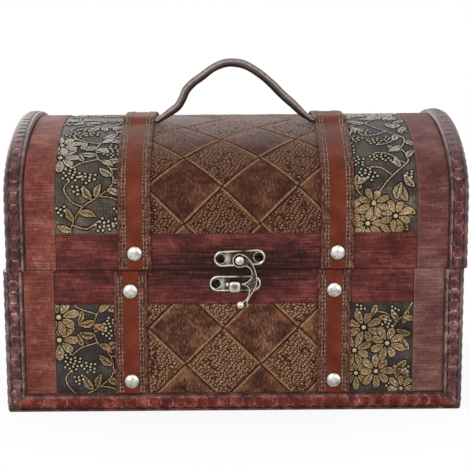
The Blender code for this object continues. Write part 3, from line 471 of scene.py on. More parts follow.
@dataclass(frozen=True)
class LatticeLeather(Finish):
    """Embossed leather with suede and pebbled diamonds between pale ridges,
    partly rubbed and partly painted highlight.
    """

    slant: float = 28.0
    # Share of painted shade laid over the whole panel, mixed toward a dark red.
    shade: float = 0.0

    # Heights over which the painted sheen grows, at the dome's top.
    PAINTED_SHEEN_HEIGHTS = (143.0 * MM, 155.0 * MM)

    def draw(self, graph: Graph) -> bpy.types.Material:
        """Mottled suede cells, rows of slanted pebbles in the others, and golden rub, under a
        painted shade share and a painted sheen near the dome's top, with ridges partly painted
        highlight and grooves painted near-black as painted shade.
        """
        streak = graph.grain((1300.0, 420.0), 5.0, 0.72, 0.5)
        cloud = graph.noise(graph.lay(), 85.0, 5.0, 0.62)
        nap = graph.mix(0.42, streak, cloud)
        suede = graph.tones(nap, (0.36, 0.5, 0.63), ("1a0e0a", "503024", "9c6e52"))
        sway = graph.mix(1.0, "000000", graph.grain((190.0, 190.0), 2.0, 0.5))
        rows = graph.lay((470.0, 830.0), self.slant)
        bent = graph.node("VectorMath", {0: rows, 1: sway}, operation="ADD")
        inputs = {"Vector": bent, "Scale": 1.0, "Randomness": 0.62}
        pebbles = graph.node("TexVoronoi", inputs, "Distance", feature="DISTANCE_TO_EDGE")
        ribs = graph.mix(0.4, graph.level(pebbles, 0.02, 0.2), graph.grain((900.0, 900.0), 4.0, 0.7))
        woven = graph.tones(ribs, (0.14, 0.42, 0.68, 0.86), ("1c0f08", "4a2f21", "7c553f", "b48a6d"))
        kind = graph.mask("woven")
        colour = graph.mix(kind, suede, woven)
        rub = graph.times(graph.mask("rub"), graph.level(cloud, 0.4, 0.6))
        colour = graph.mix(graph.times(rub, 0.5), colour, "96602f")
        # Painted shade: the whole colour is mixed toward dark red by the shade share.
        colour = graph.mix(self.shade, colour, "340400")
        # Painted sheen: near the dome's top the colour is mixed toward pale grey-mauve, in streaks.
        painted_sheen = graph.level(graph.mix(kind, streak, ribs), 0.42, 0.62, 0.0, 0.7)
        colour = graph.mix(graph.times(graph.rise(*self.PAINTED_SHEEN_HEIGHTS), painted_sheen), colour, "b8a3a1")
        # Pale tan on the ridges: partly the welt's own colour, partly painted highlight.
        ridge = graph.times(graph.mask("ridge"), graph.level(streak, 0.38, 0.58, 0.35, 1.0))
        colour = graph.mix(graph.times(ridge, 0.85), colour, "b08c69")
        relief = graph.mix(kind, graph.level(streak, 0.2, 0.8, 0.35, 0.6), ribs)
        # Painted shade: the grooves are painted near-black and kept rough, so no reflection lightens
        # them.
        groove = graph.mask("groove")
        colour = graph.mix(groove, colour, "060302")
        rough = graph.maths("MAXIMUM", graph.level(streak, 0.35, 0.65, 0.4, 0.58), groove)
        return graph.coat(colour, rough, relief, 0.8 * MM, 0.09)


@dataclass(frozen=True)
class FloralLeather(Finish):
    """Pewter ground with a fine weave, and raised motifs rubbed with gold."""

    shade: str = "4a3f37"
    ground: str = "776a5e"
    sheen: str = "ad9e8e"

    THREAD_PITCH = 0.78 * MM
    # Heights over which the painted silver reflection and the painted shade of the ground grow.
    PAINTED_SILVER_HEIGHTS = (118.0 * MM, 146.0 * MM)

    def draw(self, graph: Graph) -> bpy.types.Material:
        """Woven ground, dark outlines that are partly painted shade, and gilt that turns to silver
        over the dome as painted reflection, where the ground darkens as painted shade.
        """
        cloud = graph.noise(graph.lay(), 75.0, 4.0, 0.6)
        speck = graph.noise(graph.lay(), 1300.0, 4.0, 0.7)
        warp, weft = (
            graph.bands(graph.lay(turn=turn), self.THREAD_PITCH, 0.5) for turn in (0.0, 90.0)
        )
        weave = graph.times(warp, weft)
        # Painted reflection and painted shade by height: over the dome the gilt turns silver and the
        # ground darkens.
        high = graph.rise(*self.PAINTED_SILVER_HEIGHTS, 0.85)
        ground = graph.tones(cloud, (0.34, 0.5, 0.66), (self.shade, self.ground, self.sheen))
        ground = graph.mix(graph.level(weave, 0.06, 0.34, 0.88, 0.0), ground, "100d0b")
        # Painted shade: the ground darkens toward the dome's top.
        ground = graph.mix(graph.times(high, 0.9), ground, "1c1918")
        rubbed = graph.mix(0.3, speck, cloud)
        gold = graph.tones(rubbed, (0.36, 0.5, 0.62), ("3c2b1a", "8e724e", "d4b787"))
        # Silver tones of the painted reflection, which replace the gold over the dome.
        silver = graph.tones(speck, (0.36, 0.48, 0.6), ("3c3835", "968f87", "d8d2c8"))
        gilt = graph.mask("gilt")
        worn = graph.maths("ADD", gilt, graph.level(speck, 0.35, 0.65, -0.3, 0.3))
        colour = graph.mix(graph.level(worn, 0.35, 0.75), ground, graph.mix(high, gold, silver))
        # The outline is painted near-black: partly a dark edge line, partly painted shade round the
        # relief.
        outline = graph.mask("outline")
        colour = graph.mix(outline, graph.mix(graph.mask("pearl"), colour, "c4b899"), "050404")
        rough = graph.maths("MAXIMUM", graph.level(cloud, 0.3, 0.7, 0.3, 0.44), outline)
        relief, metal = graph.mix(gilt, weave, speck), graph.level(gilt, 0.2, 0.9, 0.0, 0.35)
        return graph.coat(colour, rough, relief, 0.2 * MM, 0.12, Metallic=metal)


@dataclass(frozen=True)
class BeadedLeather(Finish):
    """Maroon edge trim, with painted shade between the beads and pale arcs along their rims,
    partly worn and partly painted highlight.
    """

    base: str = "4e2223"
    dark: str = "140809"
    plain: str = "4f3635"
    light: str = "8a4f4a"
    # Pale colour of the arcs, partly wear and partly painted highlight.
    worn: str = "d8c4bf"

    def draw(self, graph: Graph) -> bpy.types.Material:
        """Cloudy leather with creases, and from the masks painted shade in the hollows and thin
        pale arcs, partly worn and partly painted highlight.
        """
        cloud = graph.noise(graph.spot(), 170.0, 6.0, 0.7)
        tone = graph.mix(0.35, cloud, graph.noise(graph.spot(), 1500.0, 3.0, 0.65))
        plain, bead = (
            graph.tones(tone, (0.36, 0.5, 0.64), (self.dark, middle, self.light))
            for middle in (self.plain, self.base)
        )
        colour = graph.mix(graph.mask("bead"), plain, bead)
        # Painted shade: near-black in the hollows round the beads and in the groove by the rib.
        colour = graph.mix(graph.times(graph.mask("hollow"), 0.95), colour, "0e0506")
        # The pale arcs and rib line: partly worn rims, partly painted highlight.
        wear = graph.times(graph.mask("wear"), graph.level(tone, 0.45, 0.58, 0.12, 1.0))
        colour = graph.mix(graph.times(wear, 0.8), colour, self.worn)
        return graph.coat(colour, graph.level(cloud, 0.3, 0.7, 0.26, 0.42), tone, 0.25 * MM, 0.22)


@dataclass(frozen=True)
class StrapLeather(Finish):
    """Tan strap with darker turned edges."""

    def draw(self, graph: Graph) -> bpy.types.Material:
        """Smooth tan middle, mottled maroon edges, thin scuffs and painted shade in the stitch grooves.
        """
        cloud = graph.noise(graph.lay(), 80.0, 4.0, 0.6)
        scuff = graph.grain((950.0, 260.0), 5.0, 0.72)
        middle = graph.tones(cloud, (0.34, 0.52, 0.7), ("582316", "692d1d", "783825"))
        edge = graph.tones(scuff, (0.38, 0.5, 0.62), ("2a1410", "5c352b", "86594a"))
        colour = graph.mix(graph.mask("edge"), middle, edge)
        fine = graph.noise(graph.lay(), 1300.0, 3.0, 0.6)
        # Painted shade: the grooves under the rows of stitches are darkened.
        colour = graph.mix(graph.times(graph.mask("groove"), 0.7), colour, "1c0907")
        relief = graph.mix(graph.mask("edge"), fine, scuff)
        return graph.coat(colour, graph.level(scuff, 0.3, 0.7, 0.42, 0.58), relief, 0.14 * MM, 0.1)


@dataclass(frozen=True)
class Thread(Finish):
    """Waxed thread, uneven in tone."""

    def draw(self, graph: Graph) -> bpy.types.Material:
        """Twisted strands between dark and pale."""
        twist = graph.noise(graph.spot(), 1600.0, 3.0, 0.6)
        tone = graph.mix(0.5, twist, graph.noise(graph.spot(), 260.0))
        colour = graph.tones(tone, (0.38, 0.5, 0.62), ("2a1913", "856751", "b89a80"))
        return graph.coat(colour, 0.55, twist, 0.12 * MM)


@dataclass(frozen=True)
class RolledLeather(Finish):
    """Dark handle leather, rolled round a cord and creased across."""

    def draw(self, graph: Graph) -> bpy.types.Material:
        """Cloudy purple-brown with fine cross creases, and a painted highlight along its upper side."""
        cloud = graph.noise(graph.spot(), 130.0, 4.0, 0.6)
        crease = graph.grain((60.0, 900.0), 4.0, 0.65, 0.4)
        colour = graph.tones(cloud, (0.3, 0.5, 0.75), ("1a0f0f", "3a2725", "5a433f"))
        # Painted highlight: a pale stripe along one side of the roll, broken by the creases.
        polish = graph.times(graph.mask("polish"), graph.level(crease, 0.35, 0.6, 0.45, 0.9))
        colour = graph.mix(graph.mask("seam"), graph.mix(polish, colour, "b8a4a0"), "120c0c")
        rough = graph.level(crease, 0.3, 0.7, 0.24, 0.38)
        return graph.coat(colour, rough, crease, 0.15 * MM, 0.45)


@dataclass(frozen=True)
class Plating(Finish):
    """Plated metal with tarnish in patches."""

    bright: str
    tarnish: str
    patches: float
    rough: float

    def draw(self, graph: Graph) -> bpy.types.Material:
        """Tarnish by noise and by the hollow mask, with fine scratches."""
        patch = graph.noise(graph.spot(), 480.0, 4.0, 0.6)
        scratch = graph.noise(graph.spot(), 2600.0, 2.0, 0.5)
        dirt = graph.times(graph.mask("hollow"), graph.level(patch, 0.35, 0.65, 0.75, 1.1))
        share = graph.maths("MAXIMUM", graph.level(patch, 0.45, 0.72, 0.0, self.patches), dirt)
        colour = graph.tones(share, (0.0, 0.62, 0.95), (self.bright, self.tarnish, "090706"))
        rough = graph.level(patch, 0.3, 0.75, self.rough, self.rough + 0.22)
        return graph.coat(colour, rough, scratch, 0.02 * MM, Metallic=1.0)


@dataclass(frozen=True)
class BareBoard(Finish):
    """Plain light board, seen inside and on the edges."""

    def draw(self, graph: Graph) -> bpy.types.Material:
        """Straight grain along X with darker late wood."""
        grain = graph.noise(graph.spot((14.0, 240.0, 240.0)), 1.0, 6.0, 0.6, 0.6)
        tone = graph.mix(0.35, grain, graph.noise(graph.spot(), 22.0, 3.0))
        colour = graph.tones(tone, (0.3, 0.5, 0.7), ("7d5a3d", "9a754f", "b28d66"))
        return graph.coat(colour, graph.level(grain, 0.3, 0.7, 0.6, 0.8), grain, 0.15 * MM)


BATTEN = Veneer("stained_veneer", "batten")
BATTEN_MUTED = Veneer("muted_veneer", "batten", "462726", "724a45", "9a736b")
BAND_MUTED = Veneer("muted_band_veneer", "batten", "3f1f1f", "683c39", "926660")
RAIL = Veneer(
    "stained_rail_veneer", "batten", "1f0c0c", "5f2b27", "95524a", "2c1210", 0.3, (40.0, 900.0), True
)
BACK_RAIL = Veneer(
    "back_rail_veneer", "batten", "240e0d", "5c2420", "934b3f", "54302a", 0.12, (16.0, 760.0)
)
# LATTICE carries a painted shade share of 0.4 and renders darker; LATTICE_STEEP carries none.
LATTICE = LatticeLeather("lattice_embossed", "lattice_leather", 28.0, 0.4)
LATTICE_STEEP = LatticeLeather("lattice_embossed_steep", "lattice_leather", 38.0)
FLORAL = FloralLeather("floral_embossed", "floral_leather")
FLORAL_DARK = FloralLeather("floral_embossed_dark", "floral_leather", "2e2a29", "4d4744", "716964")
MAROON_TRIM = BeadedLeather("maroon_trim_leather", "trim_leather")
CORNER_TRIM = BeadedLeather(
    "corner_trim_leather", "trim_leather", "5c3233", "1a0c0d", "5c4443", "a67872"
)
RED_TRIM = BeadedLeather(
    "red_trim_leather", "trim_leather", "65221d", "240c0b", "55302c", "a5584a", "cf9f90"
)
STRAP = StrapLeather("strap_tan", "strap_leather")
THREAD = Thread("strap_thread", "strap_leather")
HANDLE = RolledLeather("rolled_handle_leather", "handle_leather")
# The nickel's dark patches are partly tarnish and partly painted reflection, standing in for dark
# surroundings mirrored in the domes.
NICKEL = Plating("bright_nickel", "nickel", "e0dcd4", "6b645a", 0.55, 0.18)
SILVER = Plating("worn_silver", "aged_silver", "d6cec1", "43392d", 0.4, 0.24)
BRASS = Plating("dulled_brass", "aged_brass", "a68c58", "4c3d22", 0.6, 0.28)
BOARD = BareBoard("bare_board", "board")


class FlatFace:
    """A flat side of the box. Across runs level to the right, along runs up."""

    def __init__(self, across: Pair, inset: float) -> None:
        """Args: the level direction to the right as (x, y), and how far in the seat lies."""
        self.right = np.array([*across, 0.0])
        self.up = np.array([0.0, 0.0, 1.0])
        self.out = np.cross(self.right, self.up)
        self.seat = (SIZES.depth if across[0] else SIZES.width) / 2 - inset

    def place(self, across: Array, along: Array, height: Array) -> Array:
        """Across times right, plus along times up, plus seat and height times out."""
        out = (self.seat + height)[..., None] * self.out
        return across[..., None] * self.right + along[..., None] * self.up + out

    def extent(self, node: str) -> tuple[float, float, float, float]:
        """Left, right, bottom and top of a CAD node on this face."""
        low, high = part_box(node)
        ends = sorted((float(np.dot(self.right, low)), float(np.dot(self.right, high))))
        return ends[0], ends[1], low.z, high.z


class LidFace:
    """The lid's face from its front edge over the dome to its back edge.

    Along is measured on the outer section, which is straight, then half an ellipse, then
    straight. At an inset both half axes of the ellipse are that much shorter.
    """

    TABLE_STEPS = 1440

    def __init__(self, seat_inset: float, tunnels: bool = False) -> None:
        """Args: how far in the seat lies, and whether the face rises over the handle's ends."""
        self.seat_inset = seat_inset
        self.tunnels = tunnels
        self.angles = np.linspace(0.0, math.pi, self.TABLE_STEPS + 1)
        y = -SIZES.depth / 2 * np.cos(self.angles)
        z = SIZES.dome_rise * np.sin(self.angles)
        self.arcs = np.concatenate([[0.0], np.cumsum(np.hypot(np.diff(y), np.diff(z)))])

    @property
    def length(self) -> float:
        """The whole way from the front edge to the back edge."""
        return 2 * SIZES.straight_rise + float(self.arcs[-1])

    def section(self, along: Array, inset: Array) -> tuple[Array, Array]:
        """Depth and height of a place on the section at an inset."""
        way = along - SIZES.straight_rise
        over = np.clip(way, 0.0, self.arcs[-1])
        angle = np.interp(over, self.arcs, self.angles)
        y = -(SIZES.depth / 2 - inset) * np.cos(angle)
        z = SIZES.springing + (SIZES.dome_rise - inset) * np.sin(angle) - np.abs(way - over)
        return y, z

    def place(self, across: Array, along: Array, height: Array) -> Array:
        """X is across; depth and height come from the section, plus the tunnel's rise."""
        y, z = self.section(along, self.seat_inset - height)
        if self.tunnels:
            share = np.clip(np.abs(y - SIZES.handle_y) / SIZES.tunnel_half_length, 0.0, 1.0)
            z = z + SIZES.tunnel_rise * (0.5 + 0.5 * np.cos(math.pi * share)) ** 0.6
        return np.stack(np.broadcast_arrays(across, y, z), axis=-1)

    def extent(self, node: str) -> tuple[float, float, float, float]:
        """Left, right, start and end of a CAD node that wraps the lid from rail to rail."""
        low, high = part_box(node)
        start = float(low.z) - SIZES.lid_bottom
        return low.x, high.x, start, self.length - start


class EndFace:
    """An end of the lid, a D shape. Across is depth and along is height."""

    def __init__(self, side: int, seat_inset: float) -> None:
        """Args: -1 for the left end or 1 for the right, and the seat's inset."""
        self.side = side
        self.seat = SIZES.width / 2 - seat_inset

    def place(self, across: Array, along: Array, height: Array) -> Array:
        """X is the seat plus height on this side; across and along are y and z."""
        x = SIZES.lid_sideways + self.side * (self.seat + height)
        return np.stack(np.broadcast_arrays(x, self.side * across, along), axis=-1)


Face = FlatFace | LidFace | EndFace
EDGE_STEPS = np.array([0.0, 0.12, 0.3, 0.55]) * MM


def stations(start: float, end: float, step: float) -> Array:
    """Even places from start to end, closer together at both ends for rounded edges."""
    inner_start, inner_end = start + EDGE_STEPS[-1], end - EDGE_STEPS[-1]
    inner = np.linspace(inner_start, inner_end, max(2, round((inner_end - inner_start) / step) + 1))
    return np.concatenate([start + EDGE_STEPS[:-1], inner, end - EDGE_STEPS[-2::-1]])


class Patch:
    """A rectangle on a face, with its grid of places."""

    def __init__(
        self, face: Face, extent: Sequence[float], step: float, along_step: float | None = None
    ) -> None:
        """Lays the grid out.

        Args:
            face: What the patch lies on.
            extent: Left, right, start and end.
            step: Spacing of the grid.
            along_step: Spacing along, where it differs.
        """
        self.face = face
        self.left, self.right, self.start, self.end = extent
        self.columns = stations(self.left, self.right, step)
        self.rows = stations(self.start, self.end, along_step or step)
        self.across, self.along = np.meshgrid(self.columns, self.rows)

    def border(self) -> Array:
        """Distance to the nearest edge of the patch."""
        sides = np.minimum(self.across - self.left, self.right - self.across)
        ends = np.minimum(self.along - self.start, self.end - self.along)
        return np.minimum(sides, ends)

    def rounded(self, thickness: float, radius: float) -> Array:
        """Height of a slab whose edges are quarter circles of a radius."""
        inside = np.clip(self.border(), 0.0, radius)
        return thickness - radius + np.sqrt(np.clip(radius**2 - (radius - inside) ** 2, 0.0, None))

    def surface(self, height: Array, masks: dict[str, Array] | None = None) -> Surface:
        """The closed surface over the patch.

        Args:
            height: Height over the seat at each place.
            masks: Values for the finish at each place.

        Returns:
            The surface, with a column at the seat on each side so that it has walls.
        """
        def widened(values: Array) -> Array:
            """Values with their first and last columns twice."""
            return np.pad(values, ((0, 0), (1, 1)), mode="edge")

        across, along, tall = widened(self.across), widened(self.along), widened(height)
        tall[:, [0, -1]] = 0.0
        points = self.face.place(across, along, tall)
        lay = np.stack([across, along], axis=-1)
        return Surface(points, {name: widened(mask) for name, mask in (masks or {}).items()}, lay)


FRONT = FlatFace((1.0, 0.0), SIZES.seat_inset)
BACK = FlatFace((-1.0, 0.0), SIZES.seat_inset)
RIGHT = FlatFace((0.0, 1.0), SIZES.seat_inset)
LEFT = FlatFace((0.0, -1.0), SIZES.seat_inset)
STRAP_FRONT = FlatFace((1.0, 0.0), SIZES.strap_back_inset)
STRAP_BACK = FlatFace((-1.0, 0.0), SIZES.strap_back_inset)
LID = LidFace(SIZES.seat_inset)
STRAP_LID = LidFace(SIZES.strap_back_inset, tunnels=True)


@dataclass(frozen=True)
class Lattice:
    """Diagonal lattice of ridges with a groove on each side."""

    node: Pair
    half_pitch: float = 20.6 * MM
    ridge_width: float = 0.58 * MM
    ridge_offset: float = 0.62 * MM
    groove_width: float = 0.36 * MM
    groove_offset: float = 0.32 * MM
    groove_depth: float = 0.6 * MM
    ridge_rise: float = 0.3 * MM
    pillow_rise: float = 0.16 * MM
    drop: float = 0.3 * MM
    edge_radius: float = 0.35 * MM
    thinnest: float = 0.1 * MM

    def emboss(self, patch: Patch, thickness: float) -> Surface:
        """The panel with its lattice.

        Two families of lines lie where (x + y) and (x - y), over the pitch, are whole. Beside a
        line the height falls by a bell on one side and rises by a wider one on the other. The
        first family falls on the side of its suede cells and the second on the pebbled side.
        """
        a = (patch.across - self.node[0]) / (2 * self.half_pitch)
        b = (patch.along - self.node[1]) / (2 * self.half_pitch)
        cell = np.mod(np.floor(a + b) - np.floor(a - b), 2.0)
        groove, ridge, near = np.zeros_like(a), np.zeros_like(a), np.full_like(a, np.inf)
        for value, turn in ((a + b, 1.0), (a - b, -1.0)):
            gap = np.abs(value - np.round(value)) * self.half_pitch * math.sqrt(2.0)
            side = gap * turn * (1.0 - 2.0 * cell)
            groove = np.maximum(groove, bell(side - self.groove_offset, self.groove_width))
            ridge = np.maximum(ridge, bell(side + self.ridge_offset, self.ridge_width))
            near = np.minimum(near, gap)
        woven = cell * smooth_step(near, 0.7 * MM, 1.3 * MM)
        pillow = self.pillow_rise * smooth_step(near, 0.8 * MM, 5.0 * MM)
        height = patch.rounded(thickness - self.drop, self.edge_radius)
        height = height + self.ridge_rise * ridge - self.groove_depth * groove + pillow
        low = 0.5 + 0.5 * np.cos(2 * math.pi * (b - np.floor(a + b) / 2 + np.floor(a - b) / 2 - 0.1))
        rub = smooth_step(near, 0.9 * MM, 1.5 * MM) * (1 - smooth_step(near, 1.8 * MM, 5.5 * MM)) * low
        masks = {"groove": groove, "ridge": ridge * (1 - groove), "woven": woven, "rub": rub}
        return patch.surface(np.clip(height, self.thinnest, None), masks)


class Embossing:
    """Raised ornament on a panel, built up as one field of heights."""

    LIFT = 0.5 * MM
    PETALS = 8
    GOLDEN_ANGLE = 2.399963

    def __init__(self, patch: Patch) -> None:
        """Starts with a bare panel."""
        self.patch = patch
        self.height, self.gilt, self.pearl = (np.zeros_like(patch.across) for _ in range(3))

    def window(self, u: float, v: float, reach: float) -> tuple[slice, slice]:
        """The part of the grid within reach of a place."""
        rows = np.searchsorted(self.patch.rows, [v - reach, v + reach])
        columns = np.searchsorted(self.patch.columns, [u - reach, u + reach])
        return slice(*rows), slice(*columns)

    def press(
        self, part: tuple[slice, slice], height: Array, gilt: Array, moat: Array | float = 0.0
    ) -> None:
        """Keeps the higher of a new motif and what is there, which sinks in the motif's moat."""
        for field_values in (self.height, self.gilt, self.pearl):
            field_values[part] *= 1.0 - moat
        higher = height > self.height[part]
        self.gilt[part] = np.where(higher, gilt, self.gilt[part])
        self.height[part] = np.maximum(self.height[part], height)

    def leaf(
        self, u: float, v: float, angle: float, length: float, width: float, blunt: float = 0.0
    ) -> None:
        """A leaf or petal.

        Half its width goes as the sine of pi times t to a power, t running from its foot to
        its tip. It is highest by its rim, with a hollow middle, a vein and side veins.

        Args:
            u: Foot, across.
            v: Foot, along.
            angle: Direction from the foot in radians.
            length: Length.
            width: Full width.
            blunt: 0 for a pointed tip and 1 for a round one.
        """
        part = self.window(u, v, length * 1.1)
        du, dv = self.patch.across[part] - u, self.patch.along[part] - v
        t = (du * math.cos(angle) + dv * math.sin(angle)) / length
        w = (dv * math.cos(angle) - du * math.sin(angle)) / (width / 2)
        w = w - 0.35 * (1.0 - blunt) * np.sin(math.pi * np.clip(t, 0.0, 1.0))
        share = np.clip(t, 0.0, 1.0)
        pointed = np.sin(math.pi * share**0.8) ** 0.95
        rounded = np.sqrt(np.clip(share * (1.0 - share**5), 0.0, None)) * 1.1
        outline = (1.0 - blunt) * pointed + blunt * rounded
        inside = (outline - np.abs(w)) * (width / 2) - np.abs(t - share) * length
        rim = smooth_step(inside, 0.0, 0.28 * MM)
        hollow = smooth_step(inside, 0.4 * MM, 0.8 * MM)
        vein = bell(w, 0.14) * smooth_step(share, 0.04, 0.15) * (1.0 - smooth_step(share, 0.7, 0.92))
        ribs = 0.5 + 0.5 * np.cos(2 * math.pi * (share * length / (1.7 * MM) - 1.1 * np.abs(w)))
        vein = vein * (1.0 - 0.8 * blunt)
        sunk = hollow * ((0.16 + 0.3 * ribs) * (1.0 - blunt) + 0.36 * blunt)
        height = self.LIFT * rim * (1.0 - sunk) * (1.0 - 0.75 * vein)
        moat = bell(inside + 0.12 * MM, 0.26 * MM)
        self.press(part, height, rim * (1.0 - 1.1 * sunk) * (1.0 - 0.85 * vein), moat)

    def berry(self, u: float, v: float, radius: float) -> None:
        """A small dome: height goes as the root of 1 minus the square of distance over radius."""
        part = self.window(u, v, radius * 1.2)
        gap = np.hypot(self.patch.across[part] - u, self.patch.along[part] - v) / radius
        dome = np.sqrt(np.clip(1.0 - gap**2, 0.0, None))
        self.press(part, 1.15 * self.LIFT * dome, 0.5 * dome)
        self.pearl[part] = np.maximum(self.pearl[part], 0.85 * smooth_step(dome, 0.3, 0.9))

    def stem(self, points: Array, width: float) -> None:
        """A round stem along a curve: height falls with the distance from the curve."""
        path = smooth_curve(points, 10)
        for (u0, v0), (u1, v1) in zip(path[:-1], path[1:]):
            reach = math.hypot(u1 - u0, v1 - v0) / 2 + width
            part = self.window((u0 + u1) / 2, (v0 + v1) / 2, reach)
            du, dv = self.patch.across[part] - u0, self.patch.along[part] - v0
            step = np.array([u1 - u0, v1 - v0])
            share = np.clip((du * step[0] + dv * step[1]) / max(step @ step, 1e-12), 0.0, 1.0)
            gap = np.hypot(du - share * step[0], dv - share * step[1]) / (width / 2)
            rod = np.sqrt(np.clip(1.0 - gap**2, 0.0, None))
            self.press(part, 0.85 * self.LIFT * rod, 0.95 * rod)

    def cluster(self, u: float, v: float, berries: int, lean: float, pitch: float) -> None:
        """Berries on a sunflower spiral: the radius goes as the root of the number."""
        for number in range(berries):
            radius = pitch * 0.6 * math.sqrt(number + 0.3)
            angle = number * self.GOLDEN_ANGLE + lean
            x, y = 1.15 * radius * math.cos(angle), 0.92 * radius * math.sin(angle)
            self.berry(u + x, v + y, 0.39 * pitch)

    def flower(self, u: float, v: float, radius: float, lean: float) -> None:
        """Blunt petals with gaps between them round a button."""
        foot = 0.22 * radius
        for number in range(self.PETALS):
            angle = lean + number * 2.0 * math.pi / self.PETALS
            length = radius * (1.0 + 0.1 * math.sin(3.0 * angle + lean)) - foot
            x, y = foot * math.cos(angle), foot * math.sin(angle)
            self.leaf(u + x, v + y, angle, length, 0.55 * radius, 0.85)
        self.berry(u, v, 0.15 * radius)

    def surface(self, thickness: float) -> Surface:
        """The panel, lower where it is bare, with an outline round every motif, partly painted shade.
        """
        lifted = self.height / self.LIFT
        spread = lifted
        for _ in range(2):
            wide = np.pad(spread, 1, mode="edge")
            beside = np.maximum(wide[1:-1, :-2], wide[1:-1, 2:])
            spread = np.maximum.reduce([spread, beside, wide[:-2, 1:-1], wide[2:, 1:-1]])
        # Outline mask: a sunk ring round each motif, painted near-black, partly as painted shade.
        outline = smooth_step(spread, 0.2, 0.5) * (1.0 - smooth_step(lifted, 0.1, 0.45))
        base = self.patch.rounded(thickness - self.LIFT * 1.25, 0.3 * MM)
        height = base + self.height - 0.1 * MM * outline
        masks = {"gilt": self.gilt, "outline": outline, "pearl": self.pearl}
        return self.patch.surface(height, masks)


@dataclass(frozen=True)
class Motifs:
    """What one tile of a vine holds, in millimetres and degrees.

    Places are across from the panel's stile side, and along from the tile's lower edge. A
    stem is a row of places. A leaf has its foot, direction and length, a cluster its place
    and number of berries, and a flower head its place and radius.
    """

    stems: tuple[tuple[Pair, ...], ...]
    leaves: tuple[tuple[float, float, float, float], ...]
    clusters: tuple[Triple, ...]
    heads: tuple[Triple, ...]


class Growth(Enum):
    """What a panel's vine carries."""

    BERRIES = Motifs(
        (
            ((8, 0), (9, 9), (15, 19), (24, 25), (31, 32), (30, 42), (23, 50), (21, 58)),
            ((15, 19), (9, 22), (5, 29), (8, 34)),
            ((24, 25), (33, 23), (37, 15)),
            ((30, 42), (36, 43), (40, 49)),
            ((23, 50), (14, 47), (9, 43)),
            ((9, 9), (17, 7), (23, 11)),
        ),
        (
            (9, 6, 160, 9), (10, 11, 115, 9), (13, 16, -15, 10), (20, 23, 120, 10), (22, 24, 70, 9),
            (28, 29, -30, 9), (31, 33, 5, 9), (31, 37, 140, 10), (27, 46, 20, 10), (24, 49, -35, 9),
            (22, 54, 170, 10), (21, 56, 30, 9), (15, 48, 110, 8), (37, 44, -60, 8), (34, 22, 40, 8),
        ),
        (
            (9, 38, 17), (37, 10, 19), (40, 53, 12), (5, 45, 9), (26, 9, 14), (18, 36, 11),
            (3, 17, 7), (30, 55, 10), (34, 17, 6), (12, 29, 7),
        ),
        ((2.0, 51.5, 10.5),),
    )
    FLOWERS = Motifs(
        (
            ((0, 55), (4, 48), (9, 43), (13, 36)),
            ((0, 2), (5, 8), (12, 11), (18, 14)),
            ((9, 43), (15, 48), (21, 49)),
        ),
        (
            (3, 50, 290, 9), (6, 46, 200, 8), (8, 44, 60, 8), (1, 36, 20, 9), (2, 27, 60, 10),
            (3, 21, 330, 9), (10, 19, 260, 9), (19, 46, 200, 8), (20, 53, 300, 8), (2, 8, 80, 8),
            (1, 14, 20, 8),
        ),
        ((14, 42, 7), (10, 50, 5), (3, 16, 4), (11, 7, 6), (29, 51, 6)),
        ((31, 14, 8.6), (32, 27, 9.0), (6, 5, 8.0), (27, 40, 9.6), (20, 15, 9.4), (14, 31, 9.6)),
    )
    MIXED = Motifs(
        (
            ((20, 0), (19, 10), (23, 20), (17, 31), (9, 40), (4, 47), (7, 58)),
            ((13, 35), (20, 41), (27, 41)),
            ((6, 44), (14, 52), (20, 54)),
            ((23, 20), (31, 24), (36, 33)),
        ),
        (
            (6, 20, 75, 11), (12, 21, 110, 11), (5, 4, 60, 10), (31, 27, 80, 10), (35, 22, 60, 9),
            (2, 28, 60, 10), (33, 30, 150, 8), (9, 41, 80, 9), (5, 49, 130, 9), (7, 55, 40, 10),
            (37, 34, 110, 9), (1, 13, 40, 9),
        ),
        ((27, 36, 17), (21, 50, 12), (32, 46, 13), (13, 47, 7), (36, 54, 9), (4, 36, 6)),
        ((27, 8, 9.6), (12, 12, 9.2), (37, 15, 8.6), (24, 19, 8.6), (13, 1, 8.4), (38, 1, 8.6)),
    )


